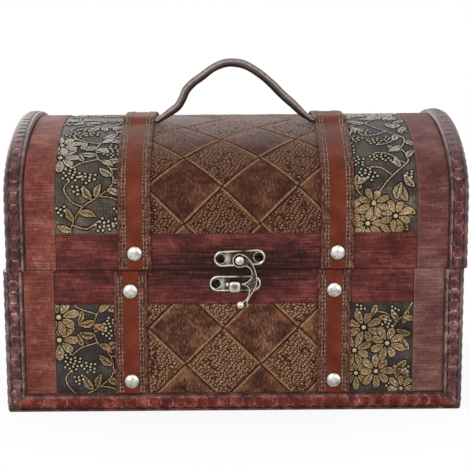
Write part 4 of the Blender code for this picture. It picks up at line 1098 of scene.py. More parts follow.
@dataclass(frozen=True)
class Vine:
    """Scrolling growth on a panel, laid out in tiles one after another.

    Every second tile is upside down, so that the stems meet. In a mixed vine it has leaves
    in place of flower heads. Start and height are in millimetres, and berries is the size
    of the berries, of which a cluster has fewer the larger they are.
    """

    growth: Growth
    start: float
    mirrored: bool = False
    berries: float = 1.0
    height: float = 58.0

    STEM_WIDTH = 0.95 * MM
    BERRY_PITCH = 2.0 * MM
    LEAF_WIDTH = 0.46

    def grow(self, patch: Patch) -> Embossing:
        """Presses tile after tile into a new panel, from below its start to past its end."""
        panel = Embossing(patch)
        first = patch.start - self.start * MM
        for tile in range(int((patch.end - first) / (self.height * MM)) + 1):
            self.press_tile(panel, first, tile)
            for number, (x, y, radius) in enumerate(self.growth.value.heads):
                u, v = self.place(patch, first, tile, x, y)
                if self.growth is Growth.MIXED and tile % 2:
                    panel.leaf(u, v, 0.9 * number, 1.5 * radius * MM, 0.65 * radius * MM)
                else:
                    panel.flower(u, v, radius * MM, 0.4 * number + tile)
        return panel

    def place(self, patch: Patch, first: float, tile: int, x: float, y: float) -> Pair:
        """A tile's place as a place on the panel."""
        u = patch.right - x * MM if self.mirrored else patch.left + x * MM
        rise = self.height - y if tile % 2 else y
        return u, first + (tile * self.height + rise) * MM

    def press_tile(self, panel: Embossing, first: float, tile: int) -> None:
        """Presses one tile's stems, leaves and berries."""
        motifs = self.growth.value
        for points in motifs.stems:
            path = [self.place(panel.patch, first, tile, x, y) for x, y in points]
            panel.stem(np.array(path), self.STEM_WIDTH)
        for x, y, degrees, length in motifs.leaves:
            angle = math.radians(-degrees if tile % 2 else degrees)
            angle = math.pi - angle if self.mirrored else angle
            u, v = self.place(panel.patch, first, tile, x, y)
            panel.leaf(u, v, angle, length * MM, self.LEAF_WIDTH * length * MM)
        for number, (x, y, berries) in enumerate(motifs.clusters):
            u, v = self.place(panel.patch, first, tile, x, y)
            pitch = self.BERRY_PITCH * self.berries
            panel.cluster(u, v, round(berries / self.berries), 1.3 * number + tile, pitch)


@dataclass(frozen=True)
class Beading:
    """A row of overlapping coins along an edge trim."""

    pitch: float = 6.2 * MM
    centre: float = 5.0 * MM
    half_width: float = 2.7 * MM
    rise: float = 0.85 * MM
    lean: float = 1.0
    corner: float = 3.4
    half_length: float = 0.6
    wobble: float = 0.03

    def relief(self, off_edge: Array, along: Array) -> tuple[Array, Array, Array, Array]:
        """Height, wear, hollow and cover of the row.

        Each coin is a superellipse that rises towards its leading end, and the highest one
        shows. Half its length and its wobble are shares of the pitch. Wear is a thin arc at its
        leading end, partly worn rim and partly painted highlight, and the hollow, which the finish
        paints as shade, is what lies close outside.

        Args:
            off_edge: Distance from the outer edge.
            along: Distance along the trim.

        Returns:
            Four arrays: height in metres, then wear, hollow and cover from 0 to 1.
        """
        shape = np.broadcast_shapes(off_edge.shape, along.shape)
        height, wear, nearest = np.zeros(shape), np.zeros(shape), np.full(shape, 9.0)
        base = np.floor(along / self.pitch)
        side = np.abs(off_edge - self.centre) / self.half_width
        for step in (-1.0, 0.0, 1.0):
            number = base + step
            middle = (number + 0.5 + self.wobble * np.sin(7.3 * number)) * self.pitch
            local = (along - middle) / (self.half_length * self.pitch)
            reach = (np.abs(local) ** self.corner + side**self.corner) ** (1.0 / self.corner)
            body = np.clip(1.0 - reach**4, 0.0, 1.0) ** 0.55
            tall = self.rise * (0.6 + 0.4 * np.clip(self.lean * local, -1.0, 1.0)) * body
            arc = bell(reach - 0.95, 0.045) * smooth_step(self.lean * local, -0.1, 0.45)
            wear = np.where(tall > height, arc, np.maximum(wear, arc * (reach > 0.94)))
            height = np.maximum(height, tall)
            nearest = np.minimum(nearest, reach)
        hollow = smooth_step(nearest, 0.8, 0.98) * (1.0 - smooth_step(nearest, 1.06, 1.3))
        return height, wear, hollow, 1.0 - smooth_step(nearest, 0.95, 1.05)


@dataclass(frozen=True)
class TrimSection:
    """L-shaped section of an edge trim, as depths p and q from its two outer faces."""

    beading_p: Beading
    beading_q: Beading
    radius: float = 1.6 * MM
    sunk: float = -0.35 * MM
    ribbed: float = 1.0
    face_steps: int = 27
    corner_steps: int = 5

    RIB_INSET = 1.3 * MM
    RIB_RISE = 0.3 * MM
    GROOVE_INSET = 2.2 * MM
    GROOVE_DEPTH = 0.25 * MM
    LIP_WIDTH = 0.5 * MM
    LIP_DEPTH = 0.55 * MM

    def offsets(self) -> Array:
        """Signed distances from the corner: negative on the face where p is 0."""
        face = np.linspace(self.radius, SIZES.trim_width, self.face_steps)
        corner = np.linspace(-self.radius, self.radius, self.corner_steps + 2)[1:-1]
        return np.concatenate([-face[::-1], corner, face])

    @property
    def fold(self) -> tuple[int, int]:
        """Columns of the outer corner's middle and of the inner corner."""
        columns = len(self.offsets())
        return columns // 2, columns + 1

    def ring(self, along: Array, fade: Array) -> tuple[Array, Array, dict[str, Array]]:
        """The section at each station.

        Args:
            along: Distance along the trim, one column of stations or one for each place.
            fade: 1 where the beads are whole and 0 where a mitre ends them.

        Returns:
            p and q of every place, and the masks. The last three columns are the inside.
        """
        t = self.offsets()[None, :]
        size = np.abs(t)
        turn = np.clip((1.0 - t / self.radius) * math.pi / 4, 0.0, math.pi / 2)
        on_p = t < 0.0
        both = [self.beading_p.relief(size, along), self.beading_q.relief(size, along)]
        rise, wear, hollow, cover = (np.where(on_p, p, q) * fade for p, q in zip(*both))
        width = SIZES.trim_width
        rib = self.RIB_RISE * self.ribbed * bell(size - (width - self.RIB_INSET), 0.55 * MM)
        groove = self.ribbed * bell(size - (width - self.GROOVE_INSET), 0.3 * MM)
        lip = self.LIP_DEPTH * smooth_step(size, width - self.LIP_WIDTH, width)
        depth = self.sunk - rise - rib + self.GROOVE_DEPTH * groove + lip
        depth = depth * smooth_step(size, 0.0, 2.2 * MM)
        p = np.maximum(t, self.radius) + (depth - self.radius) * np.sin(turn)
        q = np.maximum(-t, self.radius) + (depth - self.radius) * np.cos(turn)
        seat = SIZES.seat_inset
        insides = ([width, seat, seat], [seat, seat, width])
        inside_p, inside_q = (np.tile(row, (len(p), 1)) for row in insides)
        # Pale lines along the inner rib, partly painted highlight, and along the outer corner, worn.
        edge = 0.5 * bell(size - (width - 1.2 * MM), 0.3 * MM) + 0.2 * bell(size, 0.9 * MM)
        # The groove by the rib joins the hollow mask, which the finish paints as shade.
        hollow = np.maximum(hollow, 0.9 * groove)
        fields = {"wear": np.maximum(wear, edge), "hollow": hollow, "bead": cover}
        masks = {name: np.pad(mask, ((0, 0), (0, 3))) for name, mask in fields.items()}
        return np.concatenate([p, inside_p], axis=1), np.concatenate([q, inside_q], axis=1), masks


@dataclass(frozen=True)
class StraightTrim:
    """A beaded trim along one straight edge of the tray, mitred at its start."""

    name: str
    start: Triple
    end: Triple
    p_axis: Triple
    q_axis: Triple
    section: TrimSection
    finish: Finish
    mitred_end: bool = True
    seam: float = 0.0

    STEP = 0.55 * MM
    MITRE_GAP = 0.15 * MM
    BLEND = SIZES.trim_width + 2.0 * MM
    FADE = (0.3 * MM, 2.0 * MM)

    def build(self) -> None:
        """Carries the section along the edge and cuts mitred ends back at 45 degrees.

        Within a blend of the end the stations are drawn together, so that the first lies on
        the mitre. The beads sink close to a mitre or to the seam.
        """
        start, end = np.array(self.start), np.array(self.end)
        length = float(np.linalg.norm(end - start))
        direction = (end - start) / length
        run = np.linspace(0.0, length, max(8, round(length / self.STEP)))[:, None]
        blend = self.BLEND
        flat_p, flat_q, _ = self.section.ring(run, np.zeros_like(run))
        back = np.maximum(flat_p, flat_q) + self.MITRE_GAP

        def drawn(way: Array) -> Array:
            """Ways along the trim, drawn together close to its end."""
            return np.where(way < blend, back + way * (blend - back) / blend, way)

        along = drawn(np.broadcast_to(run, flat_p.shape))
        fade = smooth_step(along - back, *self.FADE)
        if self.mitred_end:
            rest = drawn(length - np.broadcast_to(run, flat_p.shape))
            along = np.where(run > length - blend, length - rest, along)
            fade = fade * smooth_step(rest - back, *self.FADE)
        if self.seam:
            fade = fade * smooth_step(length - along, 0.15 * self.seam, self.seam)
        p, q, masks = self.section.ring(along[:, :-3], fade[:, :-3])
        points = start + along[..., None] * direction
        points = points + p[..., None] * np.array(self.p_axis) + q[..., None] * np.array(self.q_axis)
        surface = Surface(points, masks, cap_fold=self.section.fold)
        make_piece(self.name + "_leather", [surface], self.finish, "tray", [self.name], 70.0)


@dataclass(frozen=True)
class ArchTrim:
    """A beaded trim round one end of the lid."""

    side: int
    section: TrimSection
    step: float = 0.6 * MM

    def build(self) -> None:
        """Carries the section over the dome: p in from the end, q in from the dome."""
        run = np.linspace(0.0, LID.length, round(LID.length / self.step))[:, None]
        fade = smooth_step(LID.length - run, 0.15 * SIZES.seam_fade, SIZES.seam_fade)
        p, q, masks = self.section.ring(run, fade)
        y, z = LID.section(run, q)
        x = SIZES.lid_sideways + self.side * (SIZES.width / 2 - p)
        surface = Surface(np.stack([x, y, z], axis=-1), masks)
        node = "lid_arch_trim_" + ("left" if self.side < 0 else "right")
        make_piece(node + "_leather", [surface], MAROON_TRIM, "lid", [node], 70.0)


@dataclass(frozen=True)
class StitchRows:
    """Rows of small stitches along both edges of a strap."""

    insets: tuple[float, ...] = (2.5 * MM, 4.15 * MM)
    pitch: float = 2.2 * MM
    length: float = 1.9 * MM
    radius: float = 0.34 * MM
    sides: int = 6

    def surface(self, patch: Patch, height: float, seed: int) -> Surface:
        """Spindles laid head to tail.

        Each has rings at shares of its length, and its radius swells in the middle. Seeded
        random numbers turn each a little and vary its length.
        """
        rng = np.random.default_rng(seed)
        places = int((patch.end - patch.start - self.pitch) / self.pitch)
        along = patch.start + (np.arange(places) + 0.8) * self.pitch
        columns = [patch.left + inset for inset in self.insets]
        columns += [patch.right - inset for inset in self.insets]
        across, along = (part.ravel() for part in np.meshgrid(columns, along, indexing="ij"))
        across = across + rng.normal(0.0, 0.07 * MM, across.shape)
        half = 0.5 * self.length * rng.uniform(0.85, 1.1, across.shape)
        skew = 0.2 * MM + rng.normal(0.0, 0.15 * MM, across.shape)
        level = np.full_like(across, height)
        tail = patch.face.place(across - skew, along - half, level)
        head = patch.face.place(across + skew, along + half, level)
        foot = patch.face.place(across, along, level)
        up = unit(patch.face.place(across, along, level + MM) - foot)
        side = unit(np.cross(head - tail, up))
        shares = np.array([0.0, 0.14, 0.5, 0.86, 1.0])[None, :, None, None]
        swell = self.radius * np.array([0.25, 0.85, 1.0, 0.85, 0.25])[None, :, None, None]
        angle = circle(self.sides)[None, None, :, None]
        line = tail[:, None, None] + shares * (head - tail)[:, None, None]
        out = np.cos(angle) * side[:, None, None] + np.sin(angle) * up[:, None, None]
        return Surface(line + swell * out)


@dataclass(frozen=True)
class StitchedStrap:
    """A leather strap with turned, stitched edges."""

    node: str
    face: Face
    body: str
    seed: int
    step: float = 0.9 * MM
    groove_width: float = 0.42 * MM
    groove_depth: float = 0.2 * MM
    middle_drop: float = 0.18 * MM
    pucker: float = 0.04 * MM

    def build(self) -> None:
        """Builds the strap and its thread.

        Across the strap the height has round edges, a groove under each row of stitches and
        a slightly lower, crowned middle.
        """
        left, right, start, end = self.face.extent(self.node)
        if isinstance(self.face, LidFace):
            start, end = 0.0, self.face.length
        patch = Patch(self.face, (left, right, start, end), 0.4 * MM, self.step)
        rows = StitchRows()
        edge = np.minimum(patch.across - left, right - patch.across)
        groove = np.zeros_like(edge)
        for inset in rows.insets:
            groove = np.maximum(groove, bell(edge - inset, self.groove_width))
        inner = smooth_step(edge, rows.insets[1] + 0.3 * MM, rows.insets[1] + 1.0 * MM)
        height = patch.rounded(SIZES.strap_thickness, 0.6 * MM)
        wave = np.sin(patch.along * 2 * math.pi / (rows.pitch * 2))
        height = height - (self.groove_depth + self.pucker * wave) * groove - self.middle_drop * inner
        masks = {"edge": 1.0 - inner, "groove": groove}
        name = self.node + "_leather"
        make_piece(name, [patch.surface(height, masks)], STRAP, self.body, [self.node])
        thread = rows.surface(patch, SIZES.strap_thickness - 0.1 * MM, self.seed)
        make_piece(self.node + "_thread", [thread], THREAD, self.body)


FORWARD = np.array([0.0, -1.0, 0.0])


def circle(places: int) -> Array:
    """Even angles round a circle, from 0."""
    return np.arange(places) * 2 * math.pi / places


def apart(angle: Array, other: float) -> Array:
    """Signed turn from one angle to others, the short way round."""
    return np.angle(np.exp(1j * (angle - other)))


def joint_place(name: str) -> Array:
    """Where a joint of the frame is."""
    return np.array(next(item for item in frame["joints"] if item["name"] == name)["pos_m"])


def dome_profile(
    radius: float, rise: float, places: int, start: float = 0.0, end: float = 0.49, power: float = 1.0
) -> Array:
    """Rows of radius and height of a dome: cosine and sine, from start to end times pi."""
    turn = np.linspace(start * math.pi, end * math.pi, places)
    return np.stack([radius * np.cos(turn), rise * np.sin(turn) ** power], axis=-1)


def turned(
    profile: Array, centre: Array, axis: Array, steps: int, dents: Array | None = None
) -> Surface:
    """A profile turned about an axis.

    Args:
        profile: Rows of radius and height, from the back to the front.
        centre: Where height is zero on the axis.
        axis: Unit vector along Y, towards the front.
        steps: Places round the axis.
        dents: Extra height for each place of the grid.

    Returns:
        The surface: centre plus radius times the two cross directions plus height times axis.
    """
    first = np.cross(axis, np.array([0.0, 0.0, 1.0]))
    second = np.cross(axis, first)
    angle = circle(steps)[None, :, None]
    radius, height = profile[:, :1], profile[:, 1:]
    if dents is not None:
        height = height + dents
    height = np.broadcast_to(height, (len(profile), steps))
    points = centre + radius[..., None] * (np.cos(angle) * first + np.sin(angle) * second)
    return Surface(points + height[..., None] * axis)


@dataclass(frozen=True)
class RivetHead:
    """A domed nickel rivet head with faint dents."""

    node: str
    body: str
    seed: int
    rings: int = 14
    steps: int = 40
    dent_depth: float = 0.09 * MM
    dent_width: float = 0.9 * MM

    def build(self) -> None:
        """Turns a low dome with three dents at seeded random places."""
        low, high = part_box(self.node)
        radius = (high.x - low.x) / 2
        centre = np.array([(low.x + high.x) / 2, high.y, (low.z + high.z) / 2])
        skirt = np.array([[radius * 0.9, -0.2 * MM], [radius, 0.0]])
        dome = dome_profile(radius, high.y - low.y, self.rings, end=0.4925, power=0.9)[1:]
        profile = np.concatenate([skirt, dome])
        rng = np.random.default_rng(self.seed)
        angle = circle(self.steps)[None, :]
        x, y = profile[:, :1] * np.cos(angle), profile[:, :1] * np.sin(angle)
        dents = np.zeros_like(x)
        for _ in range(3):
            across, up = rng.uniform(-0.5, 0.5, 2) * radius
            dents = dents - self.dent_depth * bell(np.hypot(x - across, y - up), self.dent_width)
        head = turned(profile, centre, FORWARD, self.steps, dents)
        make_piece(self.node + "_head", [head], NICKEL, self.body, [self.node], 80.0)


@dataclass(frozen=True)
class CastArm:
    """A cast arm between two outlines on the front, with bright edge beads and a ribbed recess."""

    outer: tuple[Pair, ...]
    inner: tuple[Pair, ...]
    thickness: float
    bend: float
    bend_drops: Pair = (16.0 * MM, 22.0 * MM)
    recess: float = 0.75 * MM
    rib_pitch: float = 1.15 * MM
    rib_rise: float = 0.1 * MM
    bead_inset: float = 0.36 * MM
    bead_half_width: float = 0.38 * MM
    floor_insets: Pair = (0.6 * MM, 0.85 * MM)
    steps: int = 9
    columns: int = 37

    def surface(self, pivot: Array) -> Surface:
        """Fills the space between the outlines.

        Args:
            pivot: World place of the hook's pivot, at the back face of the hook.

        Returns:
            The surface. Places lie on straight lines from one outline to the other, closer
            together at both ends, as the cosine of an even angle. By its distance from the
            outlines a place lies on their bead or in the recess, whose floor has slanted ribs.
            Between two drops below the pivot the arm bends forward.
        """
        lines = (self.outer, self.inner)
        outer, inner = (smooth_curve(np.array(line) * MM, self.steps) for line in lines)
        share = 0.5 - 0.5 * np.cos(np.linspace(0.0, math.pi, self.columns))[None, :, None]
        places = inner[:, None] + (outer - inner)[:, None] * share
        edge = np.minimum(self.distance(places, outer), self.distance(places, inner))
        gap = (edge - self.bead_inset) / self.bead_half_width
        bead = np.sqrt(np.clip(1.0 - gap**2, 0.0, 1.0))
        floor = smooth_step(edge, *self.floor_insets)
        wave = np.sin(2 * math.pi * (places[..., 1] - 0.5 * places[..., 0]) / self.rib_pitch)
        height = self.thickness * (0.5 + 0.5 * bead) * (1.0 - floor)
        height = height + (self.thickness - self.recess + self.rib_rise * wave) * floor
        places = np.pad(places, ((0, 0), (1, 1), (0, 0)), mode="edge")
        height, dark = (np.pad(part, ((0, 0), (1, 1))) for part in (height, floor * (0.8 - 0.2 * wave)))
        x, z = pivot[0] + places[..., 0], pivot[2] + places[..., 1]
        y = pivot[1] - height - self.bend * smooth_step(pivot[2] - z, *self.bend_drops)
        return Surface(np.stack([x, y, z], axis=-1), {"hollow": dark})

    @staticmethod
    def distance(places: Array, line: Array) -> Array:
        """Distance from each place to the nearest stretch of a line."""
        start, step = line[:-1], np.diff(line, axis=0)
        offset = places[..., None, :] - start
        share = np.clip((offset * step).sum(-1) / (step**2).sum(-1), 0.0, 1.0)
        return np.linalg.norm(offset - share[..., None] * step, axis=-1).min(axis=-1)


@dataclass(frozen=True)
class LatchPlate:
    """A cast plate with round ends, a bright rim, a dark field and two dished screws."""

    node: str
    body: str
    tilt: float
    pale: float
    dim: float
    reach: float = 9.6 * MM
    radius: float = 4.3 * MM
    hole: float = 10.4 * MM
    dish: float = 2.75 * MM
    head: float = 1.95 * MM
    back_inset: float = 1.4 * MM
    field_inset: float = 0.55 * MM
    rings: int = 26
    side_steps: int = 76
    end_steps: int = 54

    def outline(self) -> tuple[Array, Array]:
        """Spine places and outward directions round the plate, as rows of two."""
        run = np.linspace(self.reach, -self.reach, self.side_steps, endpoint=False)
        run = np.pad(run, (0, self.end_steps), constant_values=-self.reach)
        turn = math.pi * np.linspace(0.5, 1.5, self.end_steps, endpoint=False)
        turn = np.pad(turn, (self.side_steps, 0), constant_values=math.pi / 2)
        spine = np.stack([run, np.zeros_like(run)], axis=-1)
        out = np.stack([np.cos(turn), np.sin(turn)], axis=-1)
        return np.concatenate([spine, -spine]), np.concatenate([out, -out])

    def relief(self, x: Array, z: Array, edge: Array) -> tuple[Array, Array]:
        """Height over the field and darkness of each place.

        The rim is a bell near the edge. Each screw lies in a dish with a lip: a low dome with
        a crossed slot, two bands through its middle.
        """
        height = 0.4 * MM * bell(edge - 0.5 * MM, 0.34 * MM)
        dark = 0.78 * smooth_step(edge, 0.75 * MM, 1.05 * MM)
        # The field is darker about x = dim and paler about x = pale.
        dark = np.maximum(dark, 0.62 * bell(x - self.dim, 4.6 * MM))
        dark = dark * (1.0 - 0.75 * bell(np.hypot(x - self.pale, 0.5 * z), 1.7 * MM))
        for middle, turn in ((-self.hole, 0.5), (self.hole, 1.0)):
            gap = np.hypot(x - middle, z)
            inside = 1.0 - smooth_step(gap, self.dish - 0.65 * MM, self.dish - 0.15 * MM)
            head = np.sqrt(np.clip(1.0 - (gap / self.head) ** 2, 0.0, None))
            a = (x - middle) * math.cos(turn) + z * math.sin(turn)
            b = z * math.cos(turn) - (x - middle) * math.sin(turn)
            slot = np.maximum(bell(a, 0.24 * MM), bell(b, 0.24 * MM))
            slot = slot * (1.0 - smooth_step(gap, 1.0 * MM, 1.4 * MM))
            height = height + 0.16 * MM * bell(gap - self.dish, 0.25 * MM) * (1.0 - inside)
            height = height - 0.5 * MM * inside + 0.42 * MM * head - 0.25 * MM * slot
            dark = dark * (1.0 - 0.6 * bell(gap - self.dish - 0.05 * MM, 0.22 * MM))
            dark = np.maximum(dark, inside * (0.93 + 0.07 * slot))
        return height, np.clip(dark, 0.0, 1.0)

    def surface(self) -> Surface:
        """Rings that shrink from the outline to the spine, raised by the relief."""
        low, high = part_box(self.node)
        spine, out = self.outline()
        edge = (np.linspace(0.0, 1.0, self.rings) ** 1.15)[:, None] * (self.radius - 0.03 * MM)
        x = spine[:, 0] + (self.radius - edge) * out[:, 0]
        z = spine[:, 1] + (self.radius - edge) * out[:, 1]
        height, dark = self.relief(x, z, edge)
        x, z, dark = (np.concatenate([part[:1], part]) for part in (x, z, dark))
        back = np.full((1, x.shape[1]), self.back_inset - SIZES.depth / 2)
        y = np.concatenate([back, self.field_inset - SIZES.depth / 2 - height])
        turn = math.radians(self.tilt)
        across = (low.x + high.x) / 2 + x * math.cos(turn) - z * math.sin(turn)
        up = (low.z + high.z) / 2 + x * math.sin(turn) + z * math.cos(turn)
        return Surface(np.stack([across, y, up], axis=-1), {"hollow": dark})


@dataclass(frozen=True)
class Latch:
    """The swing hook, its two plates, the pivot rivet and the stud."""

    thickness: float = 1.5 * MM
    ring_radius: float = 4.0 * MM
    hole_radius: float = 1.6 * MM
    eye_floor: float = 0.44
    tail_bend: float = 3.7 * MM
    ball_drop: float = 24.0 * MM
    ball_across: float = 0.2 * MM
    ball_radius: float = 2.2 * MM
    stud_middle: Pair = (0.3 * MM, 70.8 * MM)
    stud_radius: float = 3.2 * MM

    OUTER = (
        (1.0, 3.6), (3.3, 2.7), (5.3, 0.9), (7.0, -1.6), (8.3, -4.4), (9.2, -7.4), (9.6, -10.2),
        (9.6, -12.2), (9.4, -13.4), (9.15, -14.1), (8.8, -15.0), (8.2, -16.2), (7.2, -17.7),
        (6.0, -19.2), (4.9, -20.8), (4.1, -22.6), (4.6, -24.9),
    )
    INNER = (
        (1.6, -3.4), (2.6, -3.35), (3.7, -3.5), (4.9, -4.2), (5.9, -5.5), (6.35, -7.4), (6.1, -9.2),
        (5.3, -10.6), (3.6, -12.0), (0.9, -13.1), (3.0, -14.0), (4.5, -15.2), (4.9, -16.8),
        (4.4, -18.8), (3.2, -20.7), (1.3, -22.2), (0.6, -24.6),
    )

    def build(self) -> None:
        """Builds the hook, then the two plates with what stands on them."""
        pivot = joint_place("latch_swing")
        back = pivot + np.array([0.0, self.thickness / 2, 0.0])
        arm = CastArm(self.OUTER, self.INNER, self.thickness, self.tail_bend).surface(back)
        ball_centre = pivot + np.array([self.ball_across, -self.tail_bend, -self.ball_drop])
        ball = turned(dome_profile(self.ball_radius, 1.45 * MM, 15, -0.49), ball_centre, FORWARD, 28)
        hook = [arm, self.eye(back), ball]
        upper = [LatchPlate("hook_plate", "lid", 2.4, -6.6 * MM, 2.2 * MM).surface(), self.rivet(pivot)]
        lower = [LatchPlate("catch_plate", "tray", 0.0, -7.2 * MM, 4.5 * MM).surface(), *self.stud()]
        make_piece("latch_hook_casting", hook, SILVER, "latch_hook", ["latch_hook"], 45.0)
        make_piece("hook_plate_casting", upper, SILVER, "lid", ["hook_plate"])
        make_piece("catch_plate_casting", lower, SILVER, "tray", ["catch_plate"])

    def eye(self, centre: Array) -> Surface:
        """The ring round the pivot: a section of radius and height turned about it.

        Its raised edge sinks to the floor on the side where the arm leaves it.
        """
        outer, inner, tall = self.ring_radius, self.hole_radius, self.thickness
        rim = [outer, outer, outer - 0.25 * MM, outer - 0.6 * MM, outer - 0.9 * MM]
        radius = np.array([inner, *rim, 2.0 * MM, inner])[None, :]
        floor = self.eye_floor
        height = np.array([0.0, 0.0, 0.7, 0.98, 0.98, floor, floor, 0.4])[None, :] * tall
        angle = np.linspace(0.0, 2 * math.pi, 49)[:, None]
        away = np.abs(apart(angle, -0.1))
        height = np.minimum(height, (floor + (1.0 - floor) * smooth_step(away, 0.95, 1.2)) * tall)
        x = centre[0] + radius * np.cos(angle)
        z = centre[2] + radius * np.sin(angle)
        dark = np.array([1, 0, 0, 0, 0, 1, 1, 1])[None, :] * np.ones_like(angle)
        return Surface(np.stack([x, centre[1] - height, z], axis=-1), {"hollow": dark})

    def rivet(self, pivot: Array) -> Surface:
        """The pivot: a pin through the hook's eye with a smooth low dome in front."""
        seat = np.array([pivot[0], -(SIZES.depth / 2 + 1.9 * MM), pivot[2]])
        pin = np.array([[1.4, -2.5], [1.4, -0.05], [2.3, 0.0]]) * MM
        dome = dome_profile(2.5 * MM, 1.05 * MM, 10)
        return turned(np.concatenate([pin, dome]), seat, FORWARD, 32)

    def stud(self) -> list[Surface]:
        """The stud's neck, its square pillow and a small bead beside it.

        The pillow's outline is a circle of the fourth power, and shrinks as it rises.
        """
        across, height = self.stud_middle
        seat = -(SIZES.depth / 2 + 2.3 * MM)
        rings = np.linspace(-0.12, 1.0, 14)[:, None, None]
        angle = circle(40)[None, :, None]
        square = (np.abs(np.cos(angle)) ** 4 + np.abs(np.sin(angle)) ** 4) ** (-1.0 / 4)
        radius = self.stud_radius * square * np.cos(rings * 0.49 * math.pi) ** 0.4
        dent = 0.25 * MM * np.clip(1.0 - (radius / (2.4 * MM)) ** 2, 0.0, 1.0)
        x = across + radius * np.cos(angle)
        z = height + 0.97 * radius * np.sin(angle)
        y = np.broadcast_to(seat - 1.35 * MM * np.sin(rings * 0.49 * math.pi) + dent, x.shape)
        mottle = np.broadcast_to(0.6 * dent / (0.25 * MM), x.shape)[..., 0]
        pillow = Surface(np.concatenate([x, y, z], axis=-1), {"hollow": mottle})
        pin = np.array([[1.35, -3.2], [1.35, 0.2], [0.4, 0.4]]) * MM
        neck = turned(pin, np.array([across, seat, height]), FORWARD, 20)
        place = np.array([across - 3.75 * MM, -(SIZES.depth / 2 - 0.2 * MM), height + 0.8 * MM])
        bead = turned(dome_profile(1.35 * MM, 1.3 * MM, 9, -0.2), place, FORWARD, 18)
        return [pillow, neck, bead]


@dataclass(frozen=True)
class RolledHandle:
    """The handle: a leather roll whose thin ends lie under the straps."""

    radius: float = 2.4 * MM
    end_radius: float = 1.3 * MM
    rise: float = 33.4 * MM
    half_span: float = 46.05 * MM
    end_length: float = 11.0 * MM
    swell_length: float = 9.5 * MM
    sides: int = 28
    seam_angle: float = 1.25 * math.pi
    # Angle round the roll of the painted highlight's stripe.
    painted_highlight_angle: float = 1.68 * math.pi

    PATH_SHARES = (
        (-0.985, 0.0), (-0.92, 0.045), (-0.82, 0.14), (-0.71, 0.25), (-0.65, 0.38), (-0.60, 0.53),
        (-0.52, 0.65), (-0.41, 0.76), (-0.26, 0.91), (-0.11, 0.99), (0.03, 0.99), (0.15, 0.945),
        (0.31, 0.81), (0.46, 0.635), (0.60, 0.44), (0.73, 0.28), (0.85, 0.12), (0.93, 0.04),
        (0.985, 0.0),
    )

    def build(self) -> None:
        """Carries a circle with a seam along the path, thinner towards its ends."""
        pivot = joint_place("handle_swing")
        ends = self.half_span + self.end_length
        route = np.array(self.PATH_SHARES) * np.array([self.half_span, self.rise])
        path = smooth_curve(np.concatenate([[[-ends, 0.0]], route, [[ends, 0.0]]]), 12)
        tangent = unit(np.gradient(path, axis=0))
        normal = np.stack([-tangent[:, 1], tangent[:, 0]], axis=-1)
        swell = np.clip((self.half_span - np.abs(path[:, 0])) / self.swell_length, 0.0, 1.0)
        run = np.concatenate([[0.0], np.cumsum(np.linalg.norm(np.diff(path, axis=0), axis=1))])
        radius = self.end_radius + (self.radius - self.end_radius) * swell
        waves = 0.025 * np.sin(run / (5.1 * MM)) + 0.015 * np.sin(run / (1.9 * MM))
        radius = (radius * (1.0 + waves * swell))[:, None]
        angle = circle(self.sides)[None, :]
        gap = apart(angle, self.seam_angle)
        wide = (radius - 0.012 * MM) * (1.0 - 0.09 * bell(gap + 0.2, 0.12))
        out = np.cos(angle) * wide
        x = pivot[0] + path[:, :1] + normal[:, :1] * out
        y = pivot[1] + np.sin(angle) * wide
        z = pivot[2] + path[:, 1:] + normal[:, 1:] * out
        lay = np.stack(np.broadcast_arrays(angle * self.radius, run[:, None]), axis=-1)
        # Band round the roll that the finish paints as a highlight.
        polish = bell(apart(angle, self.painted_highlight_angle), 0.3)
        masks = {"seam": 0.8 * bell(gap, 0.22), "polish": polish}
        surface = Surface(np.stack([x, y, z], axis=-1), masks, lay)
        make_piece("handle_roll", [surface], HANDLE, "handle", ["handle"], 80.0)


def dress(node: str, finish: Finish) -> None:
    """Gives a CAD node that stays a finish."""
    mesh = frame["nodes"][node].data
    mesh.materials.clear()
    mesh.materials.append(finish.material())
    LOG.info("%s: dressed with %s", node, finish.name)


@dataclass(frozen=True)
class Cladding:
    """Battens and embossed panels on one body."""

    body: str

    BATTEN_RADIUS = 0.45 * MM
    RIPPLE = 0.03 * MM

    def batten(
        self, node: str, face: Face, finish: Finish, step: float = 1.2 * MM
    ) -> None:
        """A slab with rounded, worn edges and slightly wavy faces."""
        patch = Patch(face, face.extent(node), step)
        height = patch.rounded(SIZES.batten_thickness, self.BATTEN_RADIUS)
        ripple = np.sin(patch.along * 420.0 + np.sin(patch.across * 60.0))
        ripple = ripple * np.sin(patch.across * 35.0 + 1.3)
        height = height + self.RIPPLE * (ripple - 1.0)
        rim = bell(patch.border(), 0.4 * MM)
        make_piece(node + "_veneer", [patch.surface(height, {"rim": rim})], finish, self.body, [node])

    def lattice(
        self, node: str, face: Face, origin: Pair,
        step: float = 0.62 * MM, finish: Finish | None = None,
    ) -> None:
        """A panel of lattice leather."""
        patch = Patch(face, face.extent(node), step)
        surface = Lattice(origin).emboss(patch, SIZES.leather_thickness)
        make_piece(node + "_leather", [surface], finish or LATTICE, self.body, [node])

    def floral(self, node: str, vine: Vine) -> None:
        """A panel of floral leather, on the front or over the lid."""
        on_lid = self.body == "lid"
        face, step, finish = (LID, 0.35 * MM, FLORAL) if on_lid else (FRONT, 0.24 * MM, FLORAL_DARK)
        panel = vine.grow(Patch(face, face.extent(node), step))
        surface = panel.surface(SIZES.leather_thickness + 0.3 * MM)
        make_piece(node + "_leather", [surface], finish, self.body, [node], 75.0)


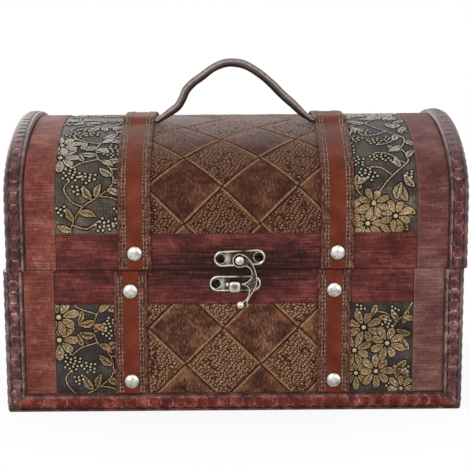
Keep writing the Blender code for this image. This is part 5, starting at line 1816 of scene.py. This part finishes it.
@dataclass(frozen=True)
class Tray:
    """The lower half of the box."""

    lattice_node: Pair = (-6.0 * MM, 46.9 * MM)
    side_node: Pair = (0.0, 36.0 * MM)
    first_seed: int = 20

    def build(self) -> None:
        """Dresses the boards and builds the cladding, trims, straps and rivets."""
        for part in ("floor", "front_wall", "back_wall", "left_wall", "right_wall"):
            dress("tray_" + part, BOARD)
        clad = Cladding("tray")
        clad.batten("tray_front_stile_left", FRONT, BATTEN)
        clad.batten("tray_front_stile_right", FRONT, BATTEN_MUTED)
        clad.batten("tray_front_rail", FRONT, RAIL)
        clad.batten("tray_back_rail", BACK, BACK_RAIL, 1.6 * MM)
        clad.lattice("tray_front_lattice_panel", FRONT, self.lattice_node, 0.36 * MM, LATTICE_STEEP)
        for word, face in (("back", BACK), ("left", LEFT), ("right", RIGHT)):
            clad.lattice(f"tray_{word}_panel", face, self.side_node)
        clad.floral("tray_front_floral_panel_left", Vine(Growth.BERRIES, 21.0))
        clad.floral("tray_front_floral_panel_right", Vine(Growth.FLOWERS, 3.5, True))
        self.trims()
        seeds = count(self.first_seed)
        for word in ("left", "right"):
            for place, face in (("front", STRAP_FRONT), ("back", STRAP_BACK)):
                StitchedStrap(f"tray_{place}_strap_{word}", face, "tray", next(seeds)).build()
            for place in ("upper", "lower"):
                RivetHead(f"tray_rivet_{place}_{word}", "tray", next(seeds)).build()

    def trims(self) -> None:
        """Four upright and four level beaded trims."""
        half_x, half_y, top = SIZES.width / 2, SIZES.depth / 2, SIZES.tray_height
        upright = TrimSection(Beading(), Beading())
        for x_word, x in (("left", -1), ("right", 1)):
            for y_word, y in (("front", -1), ("back", 1)):
                StraightTrim(
                    f"corner_trim_{y_word}_{x_word}", (x * half_x, y * half_y, 0.0),
                    (x * half_x, y * half_y, top), (-x, 0.0, 0.0), (0.0, -y, 0.0), upright,
                    CORNER_TRIM, mitred_end=False, seam=SIZES.seam_fade if y > 0 else 0.0,
                ).build()
        low = Beading(pitch=6.45 * MM, centre=5.5 * MM, half_width=3.3 * MM)
        level = TrimSection(low, low, ribbed=0.0)
        for word, x, y in (("front", 0, -1), ("back", 0, 1), ("left", -1, 0), ("right", 1, 0)):
            StraightTrim(
                f"bottom_trim_{word}", ((x or -1) * half_x, (y or -1) * half_y, 0.0),
                ((x or 1) * half_x, (y or 1) * half_y, 0.0), (0.0, 0.0, 1.0), (-x, -y, 0.0),
                level, RED_TRIM,
            ).build()


@dataclass(frozen=True)
class Lid:
    """The domed upper half of the box."""

    lattice_node: Pair = (-6.2 * MM, 45.8 * MM)
    end_node: Pair = (0.0, 112.0 * MM)
    end_inset: float = 10.1 * MM
    end_grid: tuple[int, int] = (104, 290)
    board_steps: int = 160
    strap_seed: int = 60
    rivet_seed: int = 70

    def build(self) -> None:
        """Builds the boards, cladding, trims, straps and rivets."""
        self.boards()
        clad = Cladding("lid")
        clad.batten("lid_front_rail", FRONT, RAIL)
        clad.batten("lid_back_rail", BACK, BACK_RAIL, 1.6 * MM)
        clad.batten("lid_band_left", LID, BATTEN)
        clad.batten("lid_band_right", LID, BAND_MUTED)
        clad.lattice("lid_lattice_panel", LID, self.lattice_node, 0.53 * MM)
        clad.floral("lid_floral_panel_left", Vine(Growth.BERRIES, 4.0, berries=1.12))
        clad.floral("lid_floral_panel_right", Vine(Growth.MIXED, 3.0, True, 1.1))
        section = TrimSection(Beading(lean=-1.0), Beading(lean=-1.0))
        for number, (word, side) in enumerate((("left", -1), ("right", 1))):
            ArchTrim(side, section).build()
            self.end_panel(f"lid_{word}_end_panel", side)
            StitchedStrap(f"lid_strap_{word}", STRAP_LID, "lid", self.strap_seed + number).build()
            RivetHead(f"lid_rivet_{word}", "lid", self.rivet_seed + number).build()

    def boards(self) -> None:
        """The bent board as a smooth shell, and finishes for the end boards."""
        outer, inner = SIZES.board_inset, SIZES.board_inset + SIZES.board_thickness
        low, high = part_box("lid_shell")
        run = np.linspace(0.0, LID.length, self.board_steps)[:, None]
        y, z = LID.section(run, np.array([outer, outer, inner, inner]))
        x = np.array([low.x, high.x, high.x, low.x])
        points = np.stack(np.broadcast_arrays(x, y, z), axis=-1)
        make_piece("lid_shell_board", [Surface(points)], BOARD, "lid", ["lid_shell"], 40.0)
        for node in ("lid_left_end", "lid_right_end"):
            dress(node, BOARD)

    def end_panel(self, node: str, side: int) -> None:
        """Lattice leather on a D-shaped end.

        The depth is the cosine of an even angle, and each height is a share of the height of
        the dome there, so that the grid fills the D. A last row at the seat closes its arch.
        """
        face = EndFace(side, SIZES.seat_inset)
        rows, columns = self.end_grid
        half = SIZES.depth / 2 - self.end_inset
        angle = np.linspace(math.pi, 0.0, columns)[None, :]
        full = SIZES.straight_rise + (SIZES.dome_rise - self.end_inset) * np.sin(angle)
        top = SIZES.springing + SIZES.dome_rise
        patch = Patch(face, (-half, half, SIZES.lid_bottom, top), 1.0 * MM)
        patch.across = np.broadcast_to(half * np.cos(angle), self.end_grid) * 1.0
        patch.along = SIZES.lid_bottom + np.linspace(0.0, 1.0, rows)[:, None] * full
        surface = Lattice(self.end_node).emboss(patch, SIZES.leather_thickness)
        seat = surface.points[:, -1:].copy()
        seat[..., 0] = SIZES.lid_sideways + side * face.seat
        surface.points = np.concatenate([surface.points, seat], axis=1)
        for name, mask in surface.masks.items():
            surface.masks[name] = np.concatenate([mask, mask[-1:]])
        surface.lay = np.concatenate([surface.lay, surface.lay[-1:]])
        make_piece(node + "_leather", [surface], LATTICE, "lid", [node])


@dataclass(frozen=True)
class Hinges:
    """The two stop hinges on the back, with their small screws."""

    hole_share: float = 0.62
    hole_rise: float = 3.7 * MM
    head_inset: float = 0.8 * MM

    def build(self) -> None:
        """Dresses leaves and pins, and adds a round-headed screw in each hole."""
        shank = [[0.9 * MM, -1.2 * MM], [0.9 * MM, -0.05 * MM]]
        screw = np.concatenate([shank, dome_profile(1.55 * MM, 0.7 * MM, 7)])
        for word in ("left", "right"):
            dress(f"hinge_pin_{word}", BRASS)
            for body in ("tray", "lid"):
                node = f"hinge_{body}_leaf_{word}"
                dress(node, BRASS)
                low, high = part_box(node)
                middle, reach = (low.x + high.x) / 2, (high.x - low.x) / 2 * self.hole_share
                z = low.z + self.hole_rise if body == "tray" else high.z - self.hole_rise
                y = low.y + self.head_inset
                places = [np.array([middle + side * reach, y, z]) for side in (-1.0, 1.0)]
                screws = [turned(screw, place, -FORWARD, 20) for place in places]
                make_piece(node + "_screws", screws, BRASS, body)


@dataclass(frozen=True)
class Studio:
    """Pale floor, soft lights and the camera."""

    camera_place: Triple = (-5.49 * MM, -868.9 * MM, 251.3 * MM)
    tilt: float = 10.996
    roll: float = 0.307
    yaw: float = 0.450
    focal_pixels: float = 1474.8
    frame_pixels: float = 470.0
    sensor: float = 36.0
    floor_size: float = 6.0
    ambient: float = 0.36

    LAMPS = (
        ("key_light", (-0.6, -1.35, 0.75), 0.08, 0.8, 11.5),
        ("fill_light", (0.95, -1.15, 0.55), 0.08, 1.0, 5.0),
        ("top_light", (0.0, 0.6, 1.2), 0.12, 1.2, 5.0),
        ("back_light", (-0.6, 1.3, 0.6), 0.1, 1.0, 6.0),
    )

    def build(self) -> None:
        """Makes the camera, the floor, the world and the lamps."""
        self.camera()
        self.floor()
        self.world()
        for row in self.LAMPS:
            self.lamp(*row)
        bpy.context.scene.view_settings.view_transform = "Standard"

    def camera(self) -> None:
        """A long lens at the photograph's place, tilted down."""
        data = bpy.data.cameras.new("camera")
        data.sensor_width = self.sensor
        data.lens = self.focal_pixels / self.frame_pixels * self.sensor
        data.clip_start = 0.05
        data.clip_end = 50.0
        matrix = Matrix.Translation(self.camera_place)
        for axis, degrees in (("Z", -self.yaw), ("X", 90.0 - self.tilt), ("Z", -self.roll)):
            matrix = matrix @ Matrix.Rotation(math.radians(degrees), 4, axis)
        camera = add_object("camera", data)
        camera.matrix_world = matrix
        bpy.context.scene.camera = camera

    def floor(self) -> None:
        """A wide pale floor that keeps the shadow and turns plain white away from the box."""
        mesh = bpy.data.meshes.new("floor")
        size = self.floor_size
        corners = [(x * size, y * size, 0.0) for x, y in ((-1, -1), (1, -1), (1, 1), (-1, 1))]
        mesh.from_pydata(corners, [], [(0, 1, 2, 3)])
        graph = Graph(bpy.data.materials.new("floor_white"))
        near = graph.ball(graph.spot((4.6, 5.6, 1.0)))
        seen = graph.node("LightPath", {}, "Is Camera Ray")
        glow = graph.node("Emission", {"Color": "ffffff", "Strength": 1.0}, "Emission")
        graph.show(graph.times(seen, graph.level(near, 0.0, 0.6, 1.0, 0.86)), glow)
        mesh.materials.append(graph.done(Base_Color=(0.9, 0.9, 0.9, 1.0), Roughness=0.9))
        add_object("floor", mesh)

    def world(self) -> None:
        """Soft grey light, seen as white by the camera, in metal and through glass."""
        graph = Graph(bpy.data.worlds.new("studio"))
        seen = 0.0
        for ray in ("Camera", "Transmission", "Glossy"):
            seen = graph.maths("MAXIMUM", seen, graph.node("LightPath", {}, f"Is {ray} Ray"))
        white = graph.node("Background", {"Color": "ffffff", "Strength": 1.0}, "Background")
        graph.show(seen, white)
        bpy.context.scene.world = graph.done(Color="ffffff", Strength=self.ambient)

    def lamp(self, name: str, place: Triple, target_height: float, size: float, power: float) -> None:
        """A square soft lamp that faces a height on the box's axis."""
        data = bpy.data.lights.new(name, "AREA")
        data.size = size
        data.energy = power
        back = Vector(place) - Vector((0.0, 0.0, target_height))
        turn = back.to_track_quat("Z", "Y").to_matrix().to_4x4()
        add_object(name, data).matrix_world = Matrix.Translation(place) @ turn


def main() -> None:
    """Builds the box, then the studio."""
    logging.basicConfig(level=logging.INFO, format="%(message)s")
    for part in (Tray(), Lid(), Latch(), RolledHandle(), Hinges()):
        LOG.info("building %s", type(part).__name__)
        part.build()
    Studio().build()
    bpy.context.view_layer.update()


if __name__ == "__main__":
    main()
